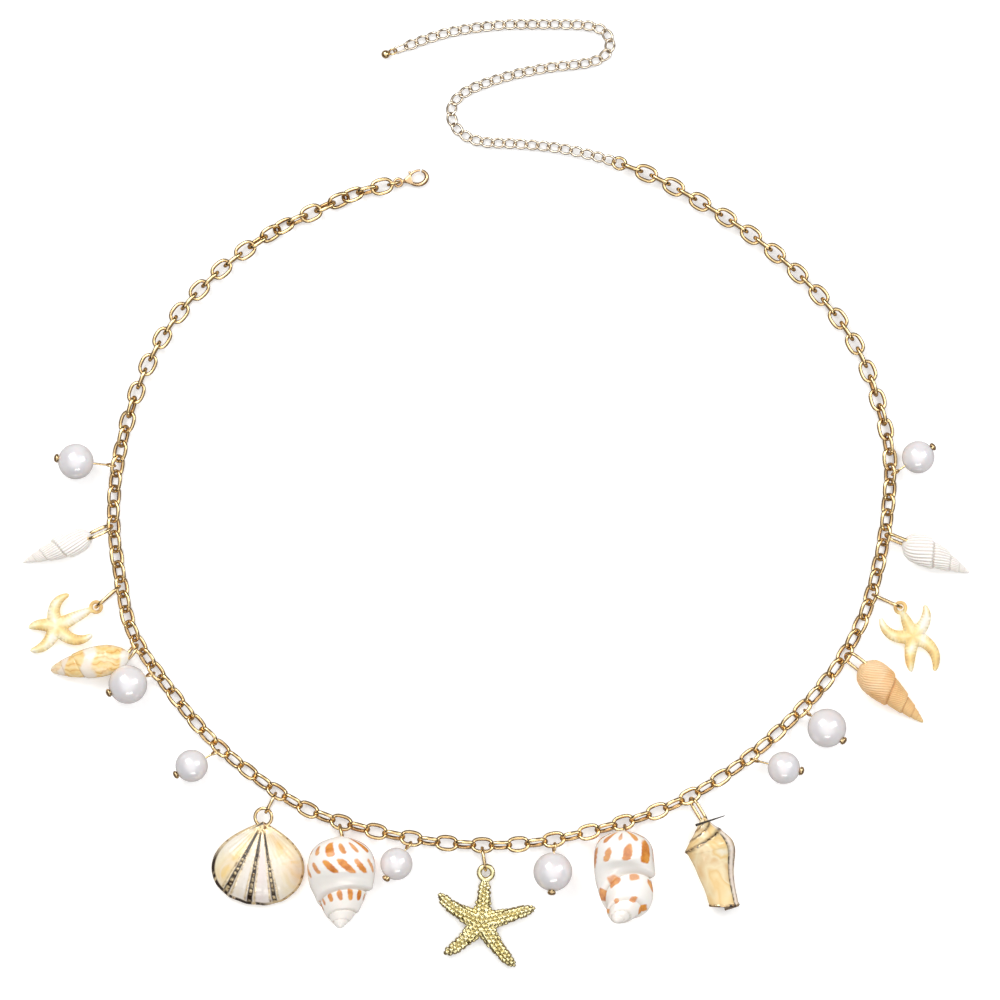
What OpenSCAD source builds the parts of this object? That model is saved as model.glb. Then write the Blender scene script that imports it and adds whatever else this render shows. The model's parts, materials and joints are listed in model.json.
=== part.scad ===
/* [Main chain] */
// Outer length of one oval link
link_l = 7.7; // [7.2:0.1:8.2]
// Outer width of one oval link
link_w = 5.3; // [4.9:0.1:5.8]
// Wire thickness of the oval links
link_wire = 1; // [0.8:0.05:1.1]
// Play between two links that are pulled tight
link_play = 0.15; // [0.12:0.01:0.3]
// Further slack of a link where the chain lies loose
link_slack = 0.85; // [0.4:0.05:1]
// Number of oval links from clasp to end ring
link_count = 128; // [116:2:136]
// Number of the link that carries the first charm
first_charm = 28; // [24:2:30]
// Links from one charm to the next
charm_step = 4; // [4:2:6]

/* [Extension chain] */
// Outer length of one twisted link
ext_l = 4.9; // [4.6:0.05:5.3]
// Outer width of one twisted link
ext_w = 3.4; // [3.1:0.05:3.8]
// Wire thickness of the twisted links
ext_wire = 0.56; // [0.5:0.02:0.7]
// Play between two twisted links
ext_play = 0.3; // [0.2:0.01:0.32]
// Number of twisted links
ext_count = 52; // [30:1:54]
// Outer length of the oval link at the free end
tail_link_l = 5; // [4.6:0.1:6]
// Outer width of the oval link at the free end
tail_link_w = 3; // [2.8:0.1:3.6]
// Diameter of the ball at the free end
tail_ball_d = 2.6; // [2:0.1:4]

/* [Clasp] */
// Length of the clasp from the middle of its tail eye to the middle of its hook
clasp_reach = 5.7; // [5.5:0.1:7]
// Outer diameter of the hook
hook_d = 5.4; // [5:0.1:6]
// Diameter of the space inside the hook
hook_in_d = 3.2; // [3:0.1:3.3]
// Thickness of the clasp
clasp_t = 2.6; // [2.2:0.1:3]
// Thickness of the lever
lever_t = 1; // [0.8:0.1:1.2]
// Diameter of the clasp's rivet
rivet_d = 0.5; // [0.4:0.05:0.6]
// Running play of the lever on each side
lever_play = 0.1; // [0.08:0.01:0.15]
// Outer diameter of the ring that holds the clasp
clasp_ring_d = 4.2; // [4:0.1:5]
// Wire thickness of that ring and of the clasp's tail eye
clasp_wire = 0.75; // [0.6:0.05:0.8]
// Outer diameter of the ring between chain and extension
end_ring_d = 4.8; // [4.4:0.1:6]
// Wire thickness of the ring between chain and extension
end_ring_wire = 0.75; // [0.7:0.05:1]

/* [Charm rings] */
// Wire thickness of the charm rings
ring_wire = 0.8; // [0.6:0.05:0.9]
// Outer diameter of the smaller charm rings
ring_d = 6.2; // [5.6:0.1:6.6]
// Outer diameter of the wider charm rings
wide_ring_d = 7; // [6.4:0.1:7.2]
// Clearance round a ring wherever it passes through a link, a loop or a shell
ring_play = 0.2; // [0.15:0.01:0.3]

/* [Pearls] */
// Diameter of the large pearls
pearl_large_d = 12; // [10:0.5:13]
// Diameter of the middle pearl
pearl_mid_d = 11; // [10:0.5:12]
// Diameter of the small pearls
pearl_small_d = 10; // [8:0.5:11]
// Wire thickness of the pearl pins
pin_d = 0.6; // [0.5:0.05:0.8]
// Play of a pin in its pearl on each side
pin_play = 0.15; // [0.1:0.01:0.2]
// Inner diameter of a pin's eye
eye_in_d = 2.1; // [2:0.1:2.6]
// Least bare wire between a pin's eye and its pearl
pin_neck = 0.3; // [0.2:0.1:1]
// Diameter of a pin's flat head
pin_head_d = 2.2; // [1.4:0.1:2.6]

/* [Shells] */
// Length of the left white shell
white_left_l = 22.5; // [20:0.5:25]
// Width of the left white shell
white_left_w = 7.6; // [7:0.1:9]
// Length of the right white shell
white_right_l = 21; // [19:0.5:24]
// Width of the right white shell
white_right_w = 9; // [8:0.1:10]
// Length of the amber shell
amber_l = 24.5; // [22:0.5:27]
// Width of the amber shell
amber_w = 9.4; // [8:0.1:10]
// Length of the peach shell
peach_l = 24.5; // [22:0.5:27]
// Width of the peach shell
peach_w = 10; // [9:0.1:11]
// Length of the left spotted shell
spotted_left_l = 28; // [26:0.5:30]
// Width of the left spotted shell
spotted_left_w = 20; // [18:0.5:20.5]
// Length of the right spotted shell
spotted_right_l = 28.5; // [26:0.5:30]
// Width of the right spotted shell
spotted_right_w = 17.4; // [16:0.2:19]
// Length of the cone shell
cone_l = 29; // [26:0.5:31]
// Width of the cone shell over its shoulders
cone_w = 15; // [13:0.5:16]
// Length of the scallop from its hinge to its edge
scallop_l = 26; // [23:0.5:27]
// Rise of the scallop's dome over the floor
scallop_h = 7; // [5:0.5:9]
// Wall of the scallop
scallop_wall = 1.4; // [1:0.1:2]
// Material between a shell's end and the ring through it
shell_lip = 0.9; // [0.7:0.05:1.2]
// Thickness of the black pin across the cone shell
black_pin_d = 0.6; // [0.4:0.05:0.8]
// Length of the black pin
black_pin_l = 7.6; // [6:0.1:9]

/* [Starfish] */
// Reach of the gold starfish's longest arm
gold_star_r = 16.5; // [15:0.5:18]
// Thickness of the gold starfish
gold_star_h = 3; // [2.4:0.1:4]
// Reach of the cream starfish's longest arm
cream_star_r = 11.5; // [10:0.5:12]
// Thickness of the cream starfish
cream_star_h = 2.6; // [2:0.1:3.4]
// Half width of an arm's root as a share of the longest reach
arm_width = 0.19; // [0.15:0.01:0.25]
// Outer diameter of the gold starfish's loop
gold_loop_d = 5.2; // [4.8:0.1:6]
// Outer diameter of a cream starfish's loop
cream_loop_d = 4; // [3.8:0.1:5]
// Wire thickness of the starfish loops
loop_wire = 0.9; // [0.7:0.05:1]

/* [Hidden] */
// Air between the chain and the floor
floor_gap = 0.1;
// Route of the chain as it lies, from the clasp round to the end ring
waist_route = [
    [-32.5, 96], [-43.5, 93], [-56, 87.5], [-70, 80.5], [-85, 69.5], [-98, 56], [-107.5, 40.5],
    [-113.5, 24.5], [-117.5, 7], [-118.5, -10.5], [-116, -29], [-112.5, -44], [-102, -60],
    [-89, -76], [-73, -89.5], [-55.5, -100], [-35, -106], [-12.5, -109.5], [10, -109.5],
    [33, -105], [54.5, -98], [73, -87.5], [89.5, -74], [104, -58.5], [114.5, -41], [120, -23],
    [123, -5], [123.5, 12], [120, 28], [114, 44], [104.5, 58], [92.5, 70.5], [78, 82],
    [62, 92], [50, 98.5], [41, 102]
];
// Route of the extension, counted from its first joint at the end ring
ext_route = [
    [0, 0], [-9, 2.5], [-19, 4.5], [-31, 5.6], [-40, 6], [-46.4, 8], [-50.3, 12.3],
    [-50.3, 17.6], [-46.2, 21.6], [-39.5, 24.4], [-31, 27], [-20, 29.2], [-12.5, 30],
    [-6.8, 30.9], [-2.7, 32.7], [-1, 36.5], [-2.7, 40.3], [-7, 42], [-13, 42.5], [-24, 42.6],
    [-36, 42.3], [-50, 40.3], [-61, 37], [-69.5, 33.5], [-76, 30]
];
// Roll of the even links, by link number; the odd links stand square to them
roll_table = [
    [1, -90], [6, 0], [11, 90], [22, 90], [28, 135], [50, 138], [56, 155], [74, 155], [80, 138],
    [98, 135], [108, 90], [200, 90]
];
// Share of the slack that a link has, by link number
slack_table = [[1, 1], [38, 1], [50, 0], [84, 0], [94, 1], [200, 1]];
// Height of the extension over its lying height, by link number
lift_table = [[0, 1], [1, 0.9], [6, 0], [200, 0]];

// Charm that hangs before its turn, and how many links before
early_charm = 5;
early_links = 2;
// Slide of a charm along its link wire as it swings, so that it stays clear of the next link
charm_slide = 0.75;
// Places of the charms, as rows of numbers with these columns: charm, swing from square to
// the chain, lean of its ring from flat, direction of its body from square to the chain,
// outer width of its ring, and how much longer than wide the ring is
white_left_place = [2, 22, 74, 18, wide_ring_d, 2.6];
star_left_place = [3, 32, 90, 16, wide_ring_d, 3.6];
amber_place = [4, 23, 74, -26, ring_d, 0];
scallop_place = [7, 6, 90, 29, ring_d, 1.2];
spotted_left_place = [8, 28, 90, 14, ring_d, 0];
gold_star_place = [10, 10, 90, -4, ring_d, 1.5];
spotted_right_place = [12, -24, 90, -15, ring_d, 0];
cone_place = [13, 3, 72, -15, ring_d, 3.6];
peach_place = [16, -7, 60, -12, wide_ring_d, 2.4];
star_right_place = [17, -8, 90, -51, wide_ring_d, 3.4];
white_right_place = [18, -13, 74, -17, ring_d, 3.6];
// Arms of the starfish, as rows of direction, share of the reach and curl; the third of each
// is the arm that carries the loop
gold_arms = [[36, 1, 6], [108, 1, 2], [180, 0.8, 0], [252, 0.93, -10], [324, 0.88, -8]];
left_arms = [[36, 0.9, -9], [108, 1, 32], [180, 0.7, 0], [252, 0.9, -32], [324, 0.76, 11]];
right_arms = [[36, 1, -17], [108, 0.86, 23], [180, 0.7, 0], [252, 1, -28], [324, 0.87, 4]];
// Profiles of the shells, as rows of share of the length and share of the half width
white_profile = [
    [0, 0.4], [0.06, 0.68], [0.16, 0.91], [0.28, 1], [0.45, 0.93], [0.62, 0.7], [0.8, 0.42],
    [0.92, 0.21], [1, 0.07]
];
amber_profile = [
    [0, 0.26], [0.1, 0.62], [0.24, 0.93], [0.4, 1], [0.55, 0.94], [0.7, 0.76], [0.85, 0.5],
    [0.95, 0.29], [1, 0.14]
];
peach_profile = [
    [0, 0.42], [0.06, 0.72], [0.16, 0.96], [0.28, 1], [0.42, 0.88], [0.58, 0.68], [0.74, 0.47],
    [0.9, 0.23], [1, 0.08]
];
spotted_profile = [
    [0, 0.3], [0.05, 0.58], [0.14, 0.86], [0.26, 0.99], [0.4, 1], [0.52, 0.9], [0.6, 0.74],
    [0.64, 0.66], [0.76, 0.54], [0.8, 0.42], [0.9, 0.25], [1, 0.06]
];
cone_profile = [
    [0, 0.22], [0.1, 0.4], [0.22, 0.68], [0.34, 0.98], [0.42, 1], [0.6, 0.86], [0.8, 0.7],
    [0.96, 0.56], [1, 0.42]
];
// Share of a shell's length at which it is widest, and its height as a share of its width
shell_widest = 0.3;
shell_rise = 0.86;
spotted_left_rise = 0.8;
cone_rise = 0.72;
// Half of the scallop's fan, and how far its ring leans from flat
fan_half = 64;
scallop_lean = 15;
// Height of the scallop's edge at its beak, fall of the edge along the shell, and share of the
// length where the dome is highest
scallop_beak = 3.2;
scallop_fall = 0.45;
scallop_top = 0.52;
// Roundness of the scallop's two sides and of its dome, and number and depth of its ribs
fan_powers = [2.4, 3];
dome_powers = [2.2, 0.7];
fan_ribs = 5;
fan_rib_depths = [0.012, 0.03];
// Share of the scallop's outline that its hollow takes, and shares of the way to its edge
under_share = 0.94;
fan_shares = [0.3, 0.55, 0.76, 0.91, 1];
// Inner radius of the clasp's tail eye, and half width of the neck where it leaves the eye
clasp_eye_in = 0.85;
neck_half = 0.7;
// Angles round the hook of the rivet, of the lever's end and of the lever's thumb nub
pivot_a = 168;
lever_tip_a = 62;
nub_a = 133;
// Length of the nub, how deep it sits in the lever, and how much thinner than the lever it is
nub_l = 1.1;
nub_in = 0.3;
nub_thin = 0.1;
// Clearance of the rivet in the body and in the lever, on the radius
rivet_fit = 0.02;
rivet_play = 0.06;
// Drop of the end ring below the last link, and its lean
end_ring_drop = 0.5;
end_ring_lean = 28;
// Height of the extension's middle as a share of its links' width, and swell of those links
ext_lie = 0.32;
ext_swell = 0.12;
// How far the black pin reaches into the cone shell past its middle
black_pin_in = 1;
// Lean of the pins' eyes from flat, and thickness of the pins' heads
eye_lean = 74;
pin_head_t = 0.5;
// Height of the starfish loops, roundness of the arms, and angles from one arm to the next
loop_z = 2.3;
star_power = 2;
star_offsets = [0, 3, 8, 16, 27, 45, 56, 64, 69];

link_pitch = link_l - 2 * link_wire - link_play;
ext_pitch = ext_l - 2 * ext_wire - ext_play;
side_r = (link_w - link_wire) / 2;
tilt_45 = 45;

function extended(p) =
    concat([2 * p[0] - p[1]], p, [2 * p[len(p) - 1] - p[len(p) - 2]]);
function spline(p, i, t) =
    0.5 * (2 * p[i] + (p[i + 1] - p[i - 1]) * t
    + (2 * p[i - 1] - 5 * p[i] + 4 * p[i + 1] - p[i + 2]) * t * t
    + (3 * p[i] - p[i - 1] - 3 * p[i + 1] + p[i + 2]) * t * t * t);
function curve(p, n) =
    concat([for (i = [1 : len(p) - 3], j = [0 : n - 1]) spline(p, i, j / n)], [p[len(p) - 2]]);
function walked(c) = [
    for (i = 0, s = 0; i < len(c); s = s + (i + 1 < len(c) ? norm(c[i + 1] - c[i]) : 0), i = i + 1) s
];
function table(s, c, axis) = [for (i = [0 : len(c) - 1]) [s[i], c[i][axis]]];
function turned(v, a) = [v.x * cos(a) - v.y * sin(a), v.x * sin(a) + v.y * cos(a)];
function heading(v) = atan2(v.y, v.x);

// Main chain: joints between links, from 0 at the clasp to link_count at the end ring
waist_line = curve(extended(waist_route), 8);
waist_walk = walked(waist_line);
waist_x = table(waist_walk, waist_line, 0);
waist_y = table(waist_walk, waist_line, 1);
steps = [for (i = [1 : link_count]) link_pitch - link_slack * lookup(i, slack_table)];
stations = [
    for (i = 0, s = 0; i <= link_count; s = s + (i < link_count ? steps[i] : 0), i = i + 1) s
];
waist_scale = stations[link_count] / waist_walk[len(waist_walk) - 1];
function roll(i) = lookup(i, roll_table);
function lying(a) = side_r * max(abs(sin(a)), abs(cos(a))) + link_wire / 2 + floor_gap;
function joint(i) =
    let (s = stations[i] / waist_scale)
    [waist_scale * lookup(s, waist_x), waist_scale * lookup(s, waist_y), lying(roll(i + 0.5))];
function middle(i) = (joint(i - 1) + joint(i)) / 2;
function flat(v) = [v.x, v.y];
function along(i) = heading(flat(joint(i) - joint(i - 1)));

// Module to lay children between two joints, rolled round the line between them
module between(a, b, turn) {
    d = b - a;
    translate((a + b) / 2)
        rotate([0, -asin(d.z / norm(d)), heading(flat(d))])
            rotate([turn, 0, 0]) children();
}

module torus(mid_r, wire, sweep = 360, from = 0) {
    rotate_extrude(angle = sweep, start = from, $fn = 40)
        translate([mid_r, 0]) circle(d = wire, $fn = 20);
}

// Oval link in the plane XY, long along X: two half rings and two straight sides
module oval_link(l, w, wire) {
    r = (w - wire) / 2;
    s = (l - w) / 2;
    for (m = [0, 180]) {
        rotate([0, 0, m]) {
            translate([s, 0, 0]) torus(r, wire, 180, -90);
            translate([-s, r, 0]) rotate([0, 90, 0]) cylinder(h = 2 * s, d = wire, $fn = 20);
        }
    }
}

module chain_links(first, last) {
    color("goldenrod")
        for (i = [first : last])
            between(joint(i - 1), joint(i), roll(i) - (i % 2 == 1 ? 90 : 0))
                oval_link(link_l, link_w, link_wire);
}

module chain_left() {
    chain_links(1, link_count / 2);
}

module chain_right() {
    chain_links(link_count / 2 + 1, link_count);
}

// Closed solid through rings of points, with a point at each end
module loft(start, rings, end) {
    n = len(rings[0]);
    m = len(rings);
    points = concat([start], [for (r = rings) each r], [end]);
    last = n * m + 1;
    faces = concat(
        [for (j = [0 : n - 1]) [0, 1 + j, 1 + (j + 1) % n]],
        [for (i = [0 : m - 2], j = [0 : n - 1], k = [0, 1])
            let (
                a = 1 + i * n + j,
                b = 1 + i * n + (j + 1) % n,
                c = a + n,
                d = b + n
            )
            k == 0 ? [a, d, b] : [a, c, d]],
        [for (j = [0 : n - 1]) [last, 1 + (m - 1) * n + (j + 1) % n, 1 + (m - 1) * n + j]]
    );
    polyhedron(points = points, faces = faces, convexity = 8);
}

// Closed ring solid: cross-sections joined round a closed line
module ring_loft(rings) {
    n = len(rings[0]);
    m = len(rings);
    faces = [
        for (i = [0 : m - 1], j = [0 : n - 1], k = [0, 1])
            let (
                a = i * n + j,
                b = i * n + (j + 1) % n,
                c = ((i + 1) % m) * n + j,
                d = ((i + 1) % m) * n + (j + 1) % n
            )
            k == 0 ? [a, d, b] : [a, c, d]
    ];
    polyhedron(points = [for (r = rings) each r], faces = faces, convexity = 8);
}

// Middle line of a twisted link, whose ends lean 45 degrees to either side
function twist_line(l, w, wire, a) =
    let (
        x = (l - wire) / 2 * cos(a),
        y = (w - wire) / 2 * sin(a) * (1 + ext_swell * cos(a) * cos(a)),
        lean = tilt_45 * cos(a)
    )
    [x, y * cos(lean), y * sin(lean)];

module twisted_link(l, w, wire, around = 12, sides = 5) {
    rings = [
        for (i = [0 : around - 1])
            let (
                a = 360 * i / around,
                p = twist_line(l, w, wire, a),
                q = twist_line(l, w, wire, a + 1) - twist_line(l, w, wire, a - 1),
                t = q / norm(q),
                n1 = cross(t, [0, 0, 1]) / norm(cross(t, [0, 0, 1])),
                n2 = cross(t, n1)
            )
            [for (j = [0 : sides - 1])
                p + wire / 2 * (n1 * cos(360 * j / sides) + n2 * sin(360 * j / sides))]
    ];
    ring_loft(rings);
}

// End ring and extension: the ring lies flat, hooked into the last oval link
last_dir = turned([1, 0], along(link_count));
end_ring_r = (end_ring_d - end_ring_wire) / 2;
last_end = flat(middle(link_count)) + (link_l - link_wire) / 2 * last_dir;
end_ring_at = last_end + (end_ring_r - (link_wire + end_ring_wire) / 2 - 2 * link_play) * last_dir;
end_ring_z = lying(roll(link_count)) - end_ring_drop;
ext_lying = ext_lie * (ext_w - ext_wire) + ext_wire / 2 + floor_gap;
ext_first = end_ring_at + last_dir
    * (end_ring_r - (end_ring_wire + ext_wire) / 2 - link_play + (ext_l - ext_wire - ext_pitch) / 2);
ext_line = curve(extended(ext_route), 8);
ext_walk = walked(ext_line);
ext_x = table(ext_walk, ext_line, 0);
ext_y = table(ext_walk, ext_line, 1);
function ext_point(s) = [lookup(s, ext_x), lookup(s, ext_y)];
function ext_next(s) = s + ext_pitch * ext_pitch / norm(ext_point(s + ext_pitch) - ext_point(s));
ext_stations = [for (i = 0, s = 0; i <= ext_count; s = ext_next(s), i = i + 1) s];
function ext_joint(i) =
    let (
        p = ext_point(ext_stations[i]) + ext_first,
        z = ext_lying + (end_ring_z - ext_lying) * lookup(i, lift_table)
    )
    [p.x, p.y, z];

module end_ring() {
    color("goldenrod")
        translate([end_ring_at.x, end_ring_at.y, end_ring_z])
            rotate([0, 0, along(link_count)]) rotate([end_ring_lean, 0, 0])
                torus(end_ring_r, end_ring_wire);
}

module extension_chain() {
    color("palegoldenrod")
        for (i = [1 : ext_count])
            between(ext_joint(i - 1), ext_joint(i), 0) twisted_link(ext_l, ext_w, ext_wire);
}

ext_dir = ext_joint(ext_count) - ext_joint(ext_count - 1);
tail_turn = heading(flat(ext_dir));
tail_u = [cos(tail_turn), sin(tail_turn), 0];
tail_link_at = (ext_joint(ext_count) + ext_joint(ext_count - 1)) / 2
    + ((ext_l - ext_wire) / 2 - ext_wire - ext_play + (tail_link_l - ext_wire) / 2) * tail_u;
tail_lying = tail_ball_d / 2 + floor_gap;
tail_eye_r = (tail_link_w - ext_wire) / 2;
tail_eye_at = tail_link_at
    + ((tail_link_l - ext_wire) / 2 - ext_wire - ext_play + tail_eye_r) * tail_u;

module tail_link() {
    color("goldenrod")
        translate([tail_link_at.x, tail_link_at.y, tail_lying])
            rotate([0, 0, tail_turn]) rotate([-tilt_45, 0, 0])
                oval_link(tail_link_l, tail_link_w, ext_wire);
}

module tail_ball() {
    color("goldenrod")
        translate([tail_eye_at.x, tail_eye_at.y, tail_lying])
            rotate([0, 0, tail_turn]) {
                rotate([tilt_45, 0, 0]) torus(tail_eye_r, ext_wire);
                translate([tail_eye_r + tail_ball_d / 2 - ext_wire / 4, 0, 0])
                    sphere(d = tail_ball_d, $fn = 32);
            }
}

// Clasp: ring, body with tail eye and hook, lever and rivet
first_dir = turned([1, 0], along(1));
clasp_ring_r = (clasp_ring_d - clasp_wire) / 2;
clasp_ring_z = clasp_ring_d / 2 + floor_gap;
clasp_z = clasp_t / 2 + floor_gap;
first_end = flat(middle(1)) - (link_l - link_wire) / 2 * first_dir;
link_rise = lying(roll(1)) - clasp_ring_z;
link_hold = clasp_ring_r - (link_wire + clasp_wire) / 2 - link_play;
clasp_ring_at = first_end - sqrt(link_hold * link_hold - link_rise * link_rise) * first_dir;
eye_drop = clasp_ring_z - clasp_z;
eye_hold = clasp_ring_r - clasp_wire - link_play;
tail_r = clasp_eye_in + clasp_wire / 2;
clasp_at = clasp_ring_at - (sqrt(eye_hold * eye_hold - eye_drop * eye_drop) + tail_r) * first_dir;
clasp_turn = along(1) + 180;
hook_mid_r = (hook_d + hook_in_d) / 4;
hook_band = (hook_d - hook_in_d) / 2;
pivot = [clasp_reach + hook_mid_r * cos(pivot_a), hook_mid_r * sin(pivot_a)];
root_r = hook_band / 2;
// The lever ends on an arc about its rivet, so that it swings in past the hook's nose
throat_r = norm([
    clasp_reach + hook_mid_r * cos(lever_tip_a) - pivot.x, hook_mid_r * sin(lever_tip_a) - pivot.y
]);

module clasp_ring() {
    color("goldenrod")
        translate([clasp_ring_at.x, clasp_ring_at.y, clasp_ring_z])
            rotate([0, 0, clasp_turn]) rotate([90, 0, 0]) torus(clasp_ring_r, clasp_wire);
}

module clasp_place() {
    translate([clasp_at.x, clasp_at.y, clasp_z]) rotate([0, 0, clasp_turn]) children();
}

// Sector of a disc round the hook, and the part of it that the lever's arc reaches
module sector(r, from, to) {
    polygon(concat([[0, 0]], [for (k = [0 : 8]) let (a = from + (to - from) * k / 8)
        [r * cos(a), r * sin(a)]]));
}

module throat(play, to) {
    intersection() {
        translate([clasp_reach, 0]) sector(hook_d, lever_tip_a / 3, to);
        translate(pivot) circle(r = throat_r + play, $fn = 64);
    }
}

module clasp_outline() {
    difference() {
        union() {
            translate([clasp_reach, 0]) circle(d = hook_d, $fn = 48);
            polygon([
                [tail_r - 0.2, -neck_half], [clasp_reach - 0.9, -hook_d / 2 + 0.16],
                [clasp_reach - 1.4, hook_d / 2 - 0.4], [tail_r - 0.2, neck_half]
            ]);
        }
        translate([clasp_reach, 0]) circle(d = hook_in_d, $fn = 40);
        throat(lever_play, 140);
    }
}

module clasp_body() {
    slot_t = lever_t + 2 * lever_play;
    color("goldenrod")
        clasp_place() {
            difference() {
                translate([0, 0, -clasp_t / 2]) linear_extrude(clasp_t) clasp_outline();
                translate([pivot.x, pivot.y, -slot_t / 2])
                    cylinder(h = slot_t, r = root_r + 2 * lever_play, $fn = 32);
                translate([clasp_reach, 0, -slot_t / 2])
                    linear_extrude(slot_t) sector(hook_d, lever_tip_a + 30, pivot_a - 8);
                translate([pivot.x, pivot.y, -clasp_t])
                    cylinder(h = 2 * clasp_t, d = rivet_d + 2 * rivet_fit, $fn = 24);
            }
            torus(tail_r, clasp_wire);
        }
}

module clasp_lever() {
    color("gold")
        clasp_place()
            difference() {
                union() {
                    translate([0, 0, -lever_t / 2]) linear_extrude(lever_t)
                        intersection() {
                            translate([clasp_reach, 0]) difference() {
                                circle(d = hook_d, $fn = 48);
                                circle(d = hook_in_d, $fn = 40);
                            }
                            throat(0, pivot_a);
                        }
                    translate([pivot.x, pivot.y, -lever_t / 2])
                        cylinder(h = lever_t, r = root_r, $fn = 32);
                    translate([clasp_reach, 0, 0]) rotate([0, 0, nub_a])
                        translate([hook_d / 2 - nub_in, 0, 0]) rotate([0, 90, 0])
                            cylinder(h = nub_l, d = lever_t - nub_thin, $fn = 24);
                }
                translate([pivot.x, pivot.y, -lever_t])
                    cylinder(h = 2 * lever_t, d = rivet_d + 2 * rivet_play, $fn = 24);
            }
}

module clasp_rivet() {
    color("gold")
        clasp_place()
            translate([pivot.x, pivot.y, -clasp_t / 2]) cylinder(h = clasp_t, d = rivet_d, $fn = 24);
}

// Charms hang from the outer, upper side wire of every charm link
function charm_link(n) =
    first_charm + charm_step * (n - 1) - (n == early_charm ? early_links : 0);
function charm_wire(n) =
    let (k = charm_link(n), a = roll(k), o = turned([1, 0], along(k) - 90), m = middle(k))
    [m.x - side_r * cos(a) * o.x, m.y - side_r * cos(a) * o.y, m.z + side_r * abs(sin(a))];
function charm_out(n) = along(charm_link(n)) - 90;

// Module to lay children at the link wire of charm n, with X along the way that it hangs
module charm(n, swing) {
    w = charm_wire(n);
    translate([w.x, w.y, 0]) rotate([0, 0, charm_out(n)])
        translate([0, charm_slide * sin(swing), 0]) rotate([0, 0, swing]) children();
}

// A charm's ring, round or drawn out: its height when it has dropped to the floor, how far the
// wire sits from the middle of its end, and the distance from the wire to its middle
function ring_z(d, lean) =
    (d - ring_wire) / 2 * sin(lean) + ring_wire / 2 + floor_gap;
function ring_hold(d, swing) = d / 2 - ring_wire - link_wire / 2 / cos(swing) - ring_play;
function ring_x(place) =
    let (
        rise = charm_wire(place[0]).z - ring_z(place[4], place[2]),
        hold = ring_hold(place[4], place[1])
    )
    sqrt(max(0, hold * hold - rise * rise)) + place[5] / 2;

module at_ring(place) {
    charm(place[0], place[1])
        translate([ring_x(place), 0, ring_z(place[4], place[2])]) children();
}

module charm_ring(place, extra = 0) {
    at_ring(place)
        rotate([place[2], 0, 0]) {
            if (place[5] > 0)
                oval_link(
                    place[4] + place[5] + 2 * extra, place[4] + 2 * extra, ring_wire + 2 * extra
                );
            else torus((place[4] - ring_wire) / 2, ring_wire + 2 * extra);
        }
}

// Pearl on its pin: the pin's eye holds the link, and the pearl rests on the floor
// Columns of the table: charm, swing, diameter, bare wire between eye and pearl
pearls = [
    [1, 3, pearl_mid_d, pin_neck + 3.6], [5, -12, pearl_large_d, pin_neck],
    [6, -18, pearl_small_d, pin_neck + 1.6], [9, -24, pearl_small_d, pin_neck],
    [11, -14, pearl_large_d, pin_neck], [14, 37, pearl_small_d, pin_neck + 2.4],
    [15, 6, pearl_large_d, pin_neck], [19, 35, pearl_small_d, pin_neck + 1.6]
];
eye_r = (eye_in_d + pin_d) / 2;
function pearl_reach(p) = p[2] / 2 + eye_r + pin_d / 2 + p[3];
function pearl_climb(p) = asin((p[2] / 2 - charm_wire(p[0]).z) / pearl_reach(p));

module on_pin(p) {
    charm(p[0], p[1])
        translate([
            eye_in_d / 2 - link_wire / 2 / cos(p[1]) - ring_play, 0, charm_wire(p[0]).z
        ])
            rotate([0, -pearl_climb(p), 0]) children();
}

module pearl(i) {
    p = pearls[i - 1];
    color("whitesmoke")
        on_pin(p)
            translate([pearl_reach(p), 0, 0]) rotate([0, 90, 0])
                rotate_extrude($fn = 64)
                    difference() {
                        circle(d = p[2], $fn = 64);
                        translate([-p[2], -p[2]])
                            square([p[2] + pin_d / 2 + pin_play, 2 * p[2]]);
                    }
}

module pearl_pin(i) {
    p = pearls[i - 1];
    end = pearl_reach(p) + p[2] / 2 + pin_play;
    color("goldenrod")
        on_pin(p) {
            rotate([eye_lean, 0, 0]) torus(eye_r, pin_d);
            translate([eye_r, 0, 0]) rotate([0, 90, 0])
                cylinder(h = end - eye_r, d = pin_d, $fn = 24);
            translate([end, 0, 0]) rotate([0, 90, 0])
                cylinder(h = pin_head_t, d1 = pin_head_d, d2 = 0.7 * pin_head_d, $fn = 32);
        }
}

// Spiral shell lying on the floor, X from its wide end to its tip
function shell_axis(p, t, h) = h / 2 * (t < shell_widest ? 1 : lookup(t, p));
function shell_ring(p, l, w, h, t, rib, sides) = [
    for (j = [0 : sides - 1])
        let (a = 360 * j / sides, r = lookup(t, p) * rib)
        [l * t, w / 2 * r * cos(a), shell_axis(p, t, h) + h / 2 * r * sin(a)]
];

module spiral_shell(p, l, w, h, ribs, rib_depth, sides = 14) {
    rings = 2 * ribs;
    loft(
        [-0.03 * l, 0, shell_axis(p, 0, h)],
        [for (i = [0 : rings])
            shell_ring(p, l, w, h, i / rings, i % 2 == 0 ? 1 : 1 - rib_depth, sides)],
        [l, 0, shell_axis(p, 1, h)]
    );
}

// Module to lay a shell behind its ring, with only a lip of it inside the ring
module behind_ring(place) {
    at_ring(place)
        translate([
            (place[4] + place[5]) / 2 - ring_wire - shell_lip, 0, -ring_z(place[4], place[2])
        ])
            rotate([0, 0, place[3] - place[1]]) children();
}

module drilled_shell(place) {
    difference() {
        behind_ring(place) children();
        charm_ring(place, ring_play);
    }
}

module white_shell_left() {
    color("ivory")
        drilled_shell(white_left_place)
            spiral_shell(
                white_profile, white_left_l, white_left_w, shell_rise * white_left_w, 9, 0.07
            );
}

module white_shell_left_ring() {
    color("goldenrod") charm_ring(white_left_place);
}

module white_shell_right() {
    color("ivory")
        drilled_shell(white_right_place)
            spiral_shell(
                white_profile, white_right_l, white_right_w, shell_rise * white_right_w, 9, 0.07
            );
}

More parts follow.
